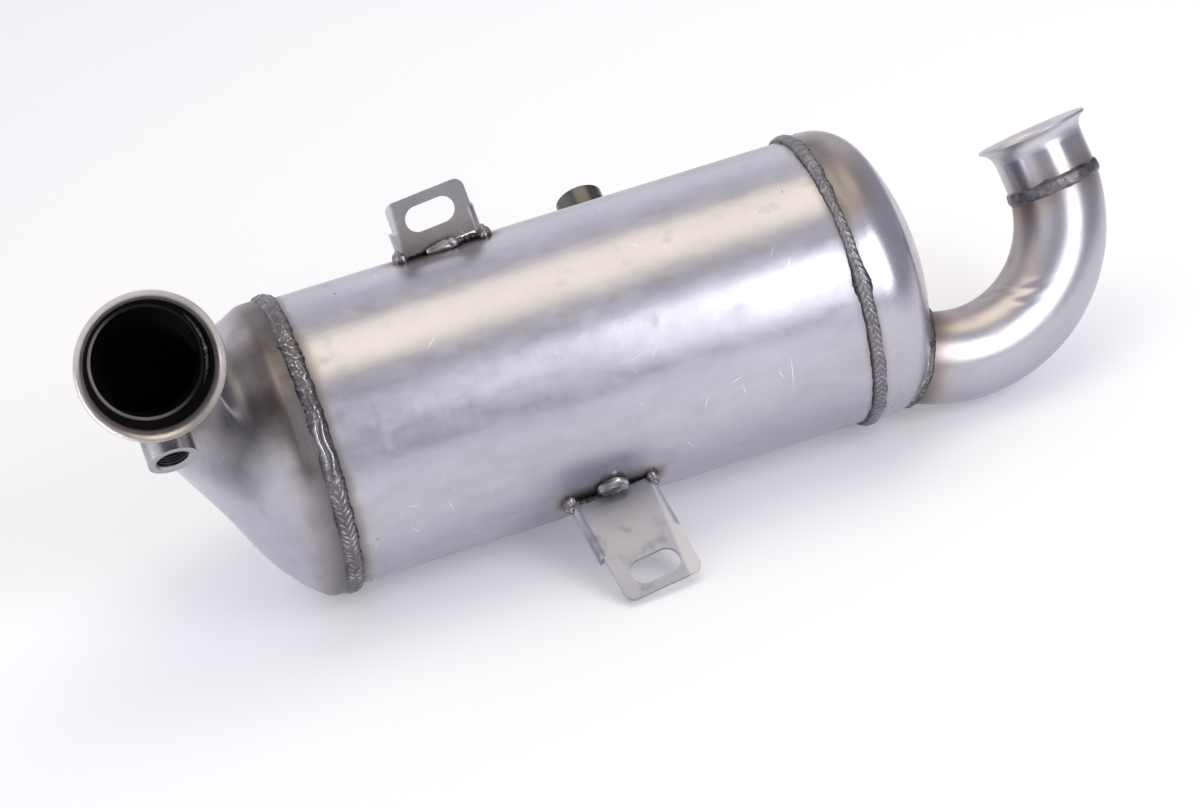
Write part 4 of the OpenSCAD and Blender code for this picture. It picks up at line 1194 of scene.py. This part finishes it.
def dark_gap_run(name, root, clock, front, seed):
    """Thin dark run that closes the gap between a web and the shell: painted shade of the gap, with some soot."""
    out = clock_dir(clock)
    draw = random.Random(seed)
    half = BRACKET_WIDTH / 2 - 0.002
    parts = []
    for k in range(ROOT_LUMPS):
        lift = 0.0012 + draw.uniform(-0.0002, 0.0003)
        spot = root + AXIS_X * (-half + 2 * half * k / (ROOT_LUMPS - 1)) - front * 0.0016 + out * lift
        parts.append(lump(spot, (AXIS_X, front, out), (0.0026, 0.0009, 0.002), seed + k, 12, 16))
    new_piece(name, *joined(parts), dark_weld, "weld_metal")


UPPER_FRONT, LOWER_FRONT = -clock_side(UPPER_CLOCK), clock_side(LOWER_CLOCK)
bracket_tacks("upper_bracket_tacks", UPPER_ROOT, UPPER_CLOCK, UPPER_FRONT, 71, "upper_bracket_welds",
              (0.0, 0.0016, 0.0016), (0.0095, 0.0036, 0.0034))
bracket_tacks("lower_bracket_tacks", LOWER_ROOT, LOWER_CLOCK, LOWER_FRONT, 83, "lower_bracket_welds",
              (0.0004, 0.0048, 0.0018), (0.0086, 0.0062, 0.0038))
dark_gap_run("upper_root_gap_shade", UPPER_ROOT, UPPER_CLOCK, UPPER_FRONT, 101)
dark_gap_run("lower_root_gap_shade", LOWER_ROOT, LOWER_CLOCK, LOWER_FRONT, 127)

# Threads of the sensor bosses

THREAD_PITCH = 0.0015
THREAD_DEPTH = 0.0008
THREAD_SIDES = 56
THREAD_CHAMFER = 0.0012


def boss_thread(name, face_middle, axis, length):
    side, other = square_pair(axis)
    rows = int(length / THREAD_PITCH * 8)
    inner, outer = np.zeros((2, rows + 1, THREAD_SIDES, 3))
    for i in range(rows + 1):
        fall = THREAD_CHAMFER + length * i / rows
        fade = min(1.0, i / 8, (rows - i) / 8)
        for j in range(THREAD_SIDES):
            out = spoke(2 * math.pi * j / THREAD_SIDES, side, other)
            phase = (fall / THREAD_PITCH + j / THREAD_SIDES) % 1.0
            reach = BOSS_BORE_R - 0.00005 - THREAD_DEPTH * fade * (1 - abs(2 * phase - 1))
            inner[i, j] = face_middle - axis * fall + out * reach
            outer[i, j] = face_middle - axis * fall + out * (BOSS_BORE_R + 0.0002)
    ring_piece(name, np.concatenate([inner, outer[::-1]]), thread_steel, "turned_steel")


boss_thread("inlet_boss_thread", BOSS_FOOT + BOSS_OUT * INLET_BOSS_REACH, BOSS_OUT, length=0.0165)
boss_thread("shell_boss_thread", SHELL_BOSS_FOOT + SHELL_BOSS_OUT * SHELL_BOSS_HEIGHT, SHELL_BOSS_OUT, length=0.0145)


# Spatter: small frozen drops on the sheet beside the welds

SHELL_DROPS, CAP_DROPS = 16, 6


def spatter_drops():
    draw = random.Random(20)
    spots = []
    for _ in range(SHELL_DROPS):
        end = draw.choice((-1, 1))
        spots.append((end * (SEAM_X - 0.008 - abs(draw.gauss(0, 0.02))), draw.uniform(-180, 180), SHELL_R))
    for _ in range(CAP_DROPS):
        spots.append((SEAM_X + draw.uniform(0.006, 0.009), draw.uniform(-180, 180), CAP_R))
    parts = []
    for x, degrees, reach in spots:
        clock = math.radians(degrees)
        size = draw.uniform(0.0003, 0.0007)
        axes = (AXIS_X, clock_side(clock), clock_dir(clock))
        parts.append(lump(canister_point(x, clock, reach + size * 0.25), axes, (size, size, size * 0.8),
                          draw.randint(1, 90), 8, 10))
    new_piece("weld_spatter", *joined(parts), tack_metal, "weld_metal")


spatter_drops()

# Edges of the cut sheet are slightly rounded

EASED_EDGES = {"upper_bracket": 0.0006, "lower_bracket": 0.0006, "inlet_flare": 0.0003, "outlet_flare": 0.0003,
               "inlet_pipe": 0.0003, "inlet_sensor_boss": 0.0003, "shell_sensor_boss": 0.0003}

for name, width in EASED_EDGES.items():
    soft = nodes[name].modifiers.new("eased_edges", "BEVEL")
    soft.width, soft.segments, soft.limit_method, soft.angle_limit = width, 2, "ANGLE", math.radians(50)

# Floor, light and camera

FLOOR_HALF = 20.0
FLOOR_GLOW = 0.165
LAMP_WHITE = (0.98, 0.98, 1.0)


def make_floor():
    corners = [(x * FLOOR_HALF, y * FLOOR_HALF, FLOOR_Z) for x, y in ((-1, -1), (1, -1), (1, 1), (-1, 1))]
    mesh = new_mesh("studio_floor", corners, [(0, 1, 2, 3)])
    floor = new_object("studio_floor", mesh)
    material, tree, _ = new_material("floor_paper")
    tree.nodes.clear()
    path = wires_of(tree, add_node(tree, "ShaderNodeLightPath"))
    # Painted dark reflection: seen only in reflections, the floor turns dark toward the right
    edge = range_of(split_of(object_place(tree))[0], 0.62, 1.0) * path["Is Glossy Ray"]
    paper = put(tree, "ShaderNodeBsdfDiffuse", {"Color": blend_of("MIX", edge, (0.9, 0.9, 0.925), (0.3, 0.3, 0.32))})
    seen = sum_of("MAXIMUM", path["Is Camera Ray"],
                  sum_of("MAXIMUM", path["Is Glossy Ray"], path["Is Transmission Ray"]))
    glow = put(tree, "ShaderNodeEmission", {"Color": (0.97, 0.97, 1.0), "Strength": seen * FLOOR_GLOW})
    both = put(tree, "ShaderNodeAddShader", {0: paper, 1: glow})
    add_node(tree, "ShaderNodeOutputMaterial", {"Surface": both})
    mesh.materials.append(material)


def make_world():
    """Pale studio round the part: white behind and on the left, dimmer above and in front, darker on the right."""
    world = bpy.data.worlds.new("studio_air")
    bpy.context.scene.world = world
    world.use_nodes = True
    tree = world.node_tree
    tree.nodes.clear()
    right, back, up = split_of(put(tree, "ShaderNodeTexCoord", out="Generated"))
    behind = range_of(back, 0.1, 0.6) * range_of(up, 0.85, 0.45)
    colour = blend_of("MIX", behind, (0.56, 0.55, 0.6), (1.02, 1.01, 1.06))
    for way, start, end, tone in ((back, -0.1, -0.75, (0.5, 0.5, 0.54)), (right, 0.35, 0.8, (0.4, 0.395, 0.44)),
                                  (right, -0.4, -0.85, (1.1, 1.1, 1.14))):
        colour = blend_of("MIX", range_of(way, start, end), colour, tone)
    air = put(tree, "ShaderNodeBackground", {"Color": colour, "Strength": 1.0})
    add_node(tree, "ShaderNodeOutputWorld", {"Surface": air})


def soft_box(name, place, target, width, height, watts, colour, turn=0.0):
    lamp = bpy.data.lights.new(name, "AREA")
    lamp.shape, lamp.size, lamp.size_y = "RECTANGLE", width, height
    lamp.energy, lamp.color = watts, colour
    box = new_object(name, lamp)
    box.location = place
    aim = (Vector(target) - Vector(place)).to_track_quat("-Z", "Y").to_matrix()
    box.rotation_euler = (Matrix.Rotation(math.radians(turn), 3, "Z") @ aim).to_euler()


def make_camera():
    lens = bpy.data.cameras.new("photo_camera")
    lens.lens, lens.sensor_width, lens.sensor_fit = 114.0, 36.0, "HORIZONTAL"
    lens.clip_start, lens.clip_end = 0.05, 40.0
    camera = new_object("photo_camera", lens)
    right, up, back = (0.93811, -0.29694, -0.17827), (0.29873, 0.43326, 0.85032), (-0.17525, -0.85095, 0.49515)
    place = (-0.1225, -1.6422, 0.8559)
    camera.matrix_world = Matrix([(right[k], up[k], back[k], place[k]) for k in range(3)] + [(0, 0, 0, 1)])
    bpy.context.scene.camera = camera


make_floor()
make_world()
soft_box("overhead_strip", (0.5, 0.2, 1.25), (0.5, 0.2, -0.1), 1.4, 0.84, 5.0, (1.0, 0.885, 0.61), turn=24.0)
soft_box("right_front_box", (1.0, -1.22, 0.66), (0.25, 0.06, -0.1), 0.8, 1.15, 10.5, LAMP_WHITE)
soft_box("left_box", (-1.35, 0.05, 0.12), (0.0, 0.02, -0.02), 0.55, 0.5, 2.2, LAMP_WHITE)
make_camera()
bpy.context.scene.view_settings.view_transform = "Standard"
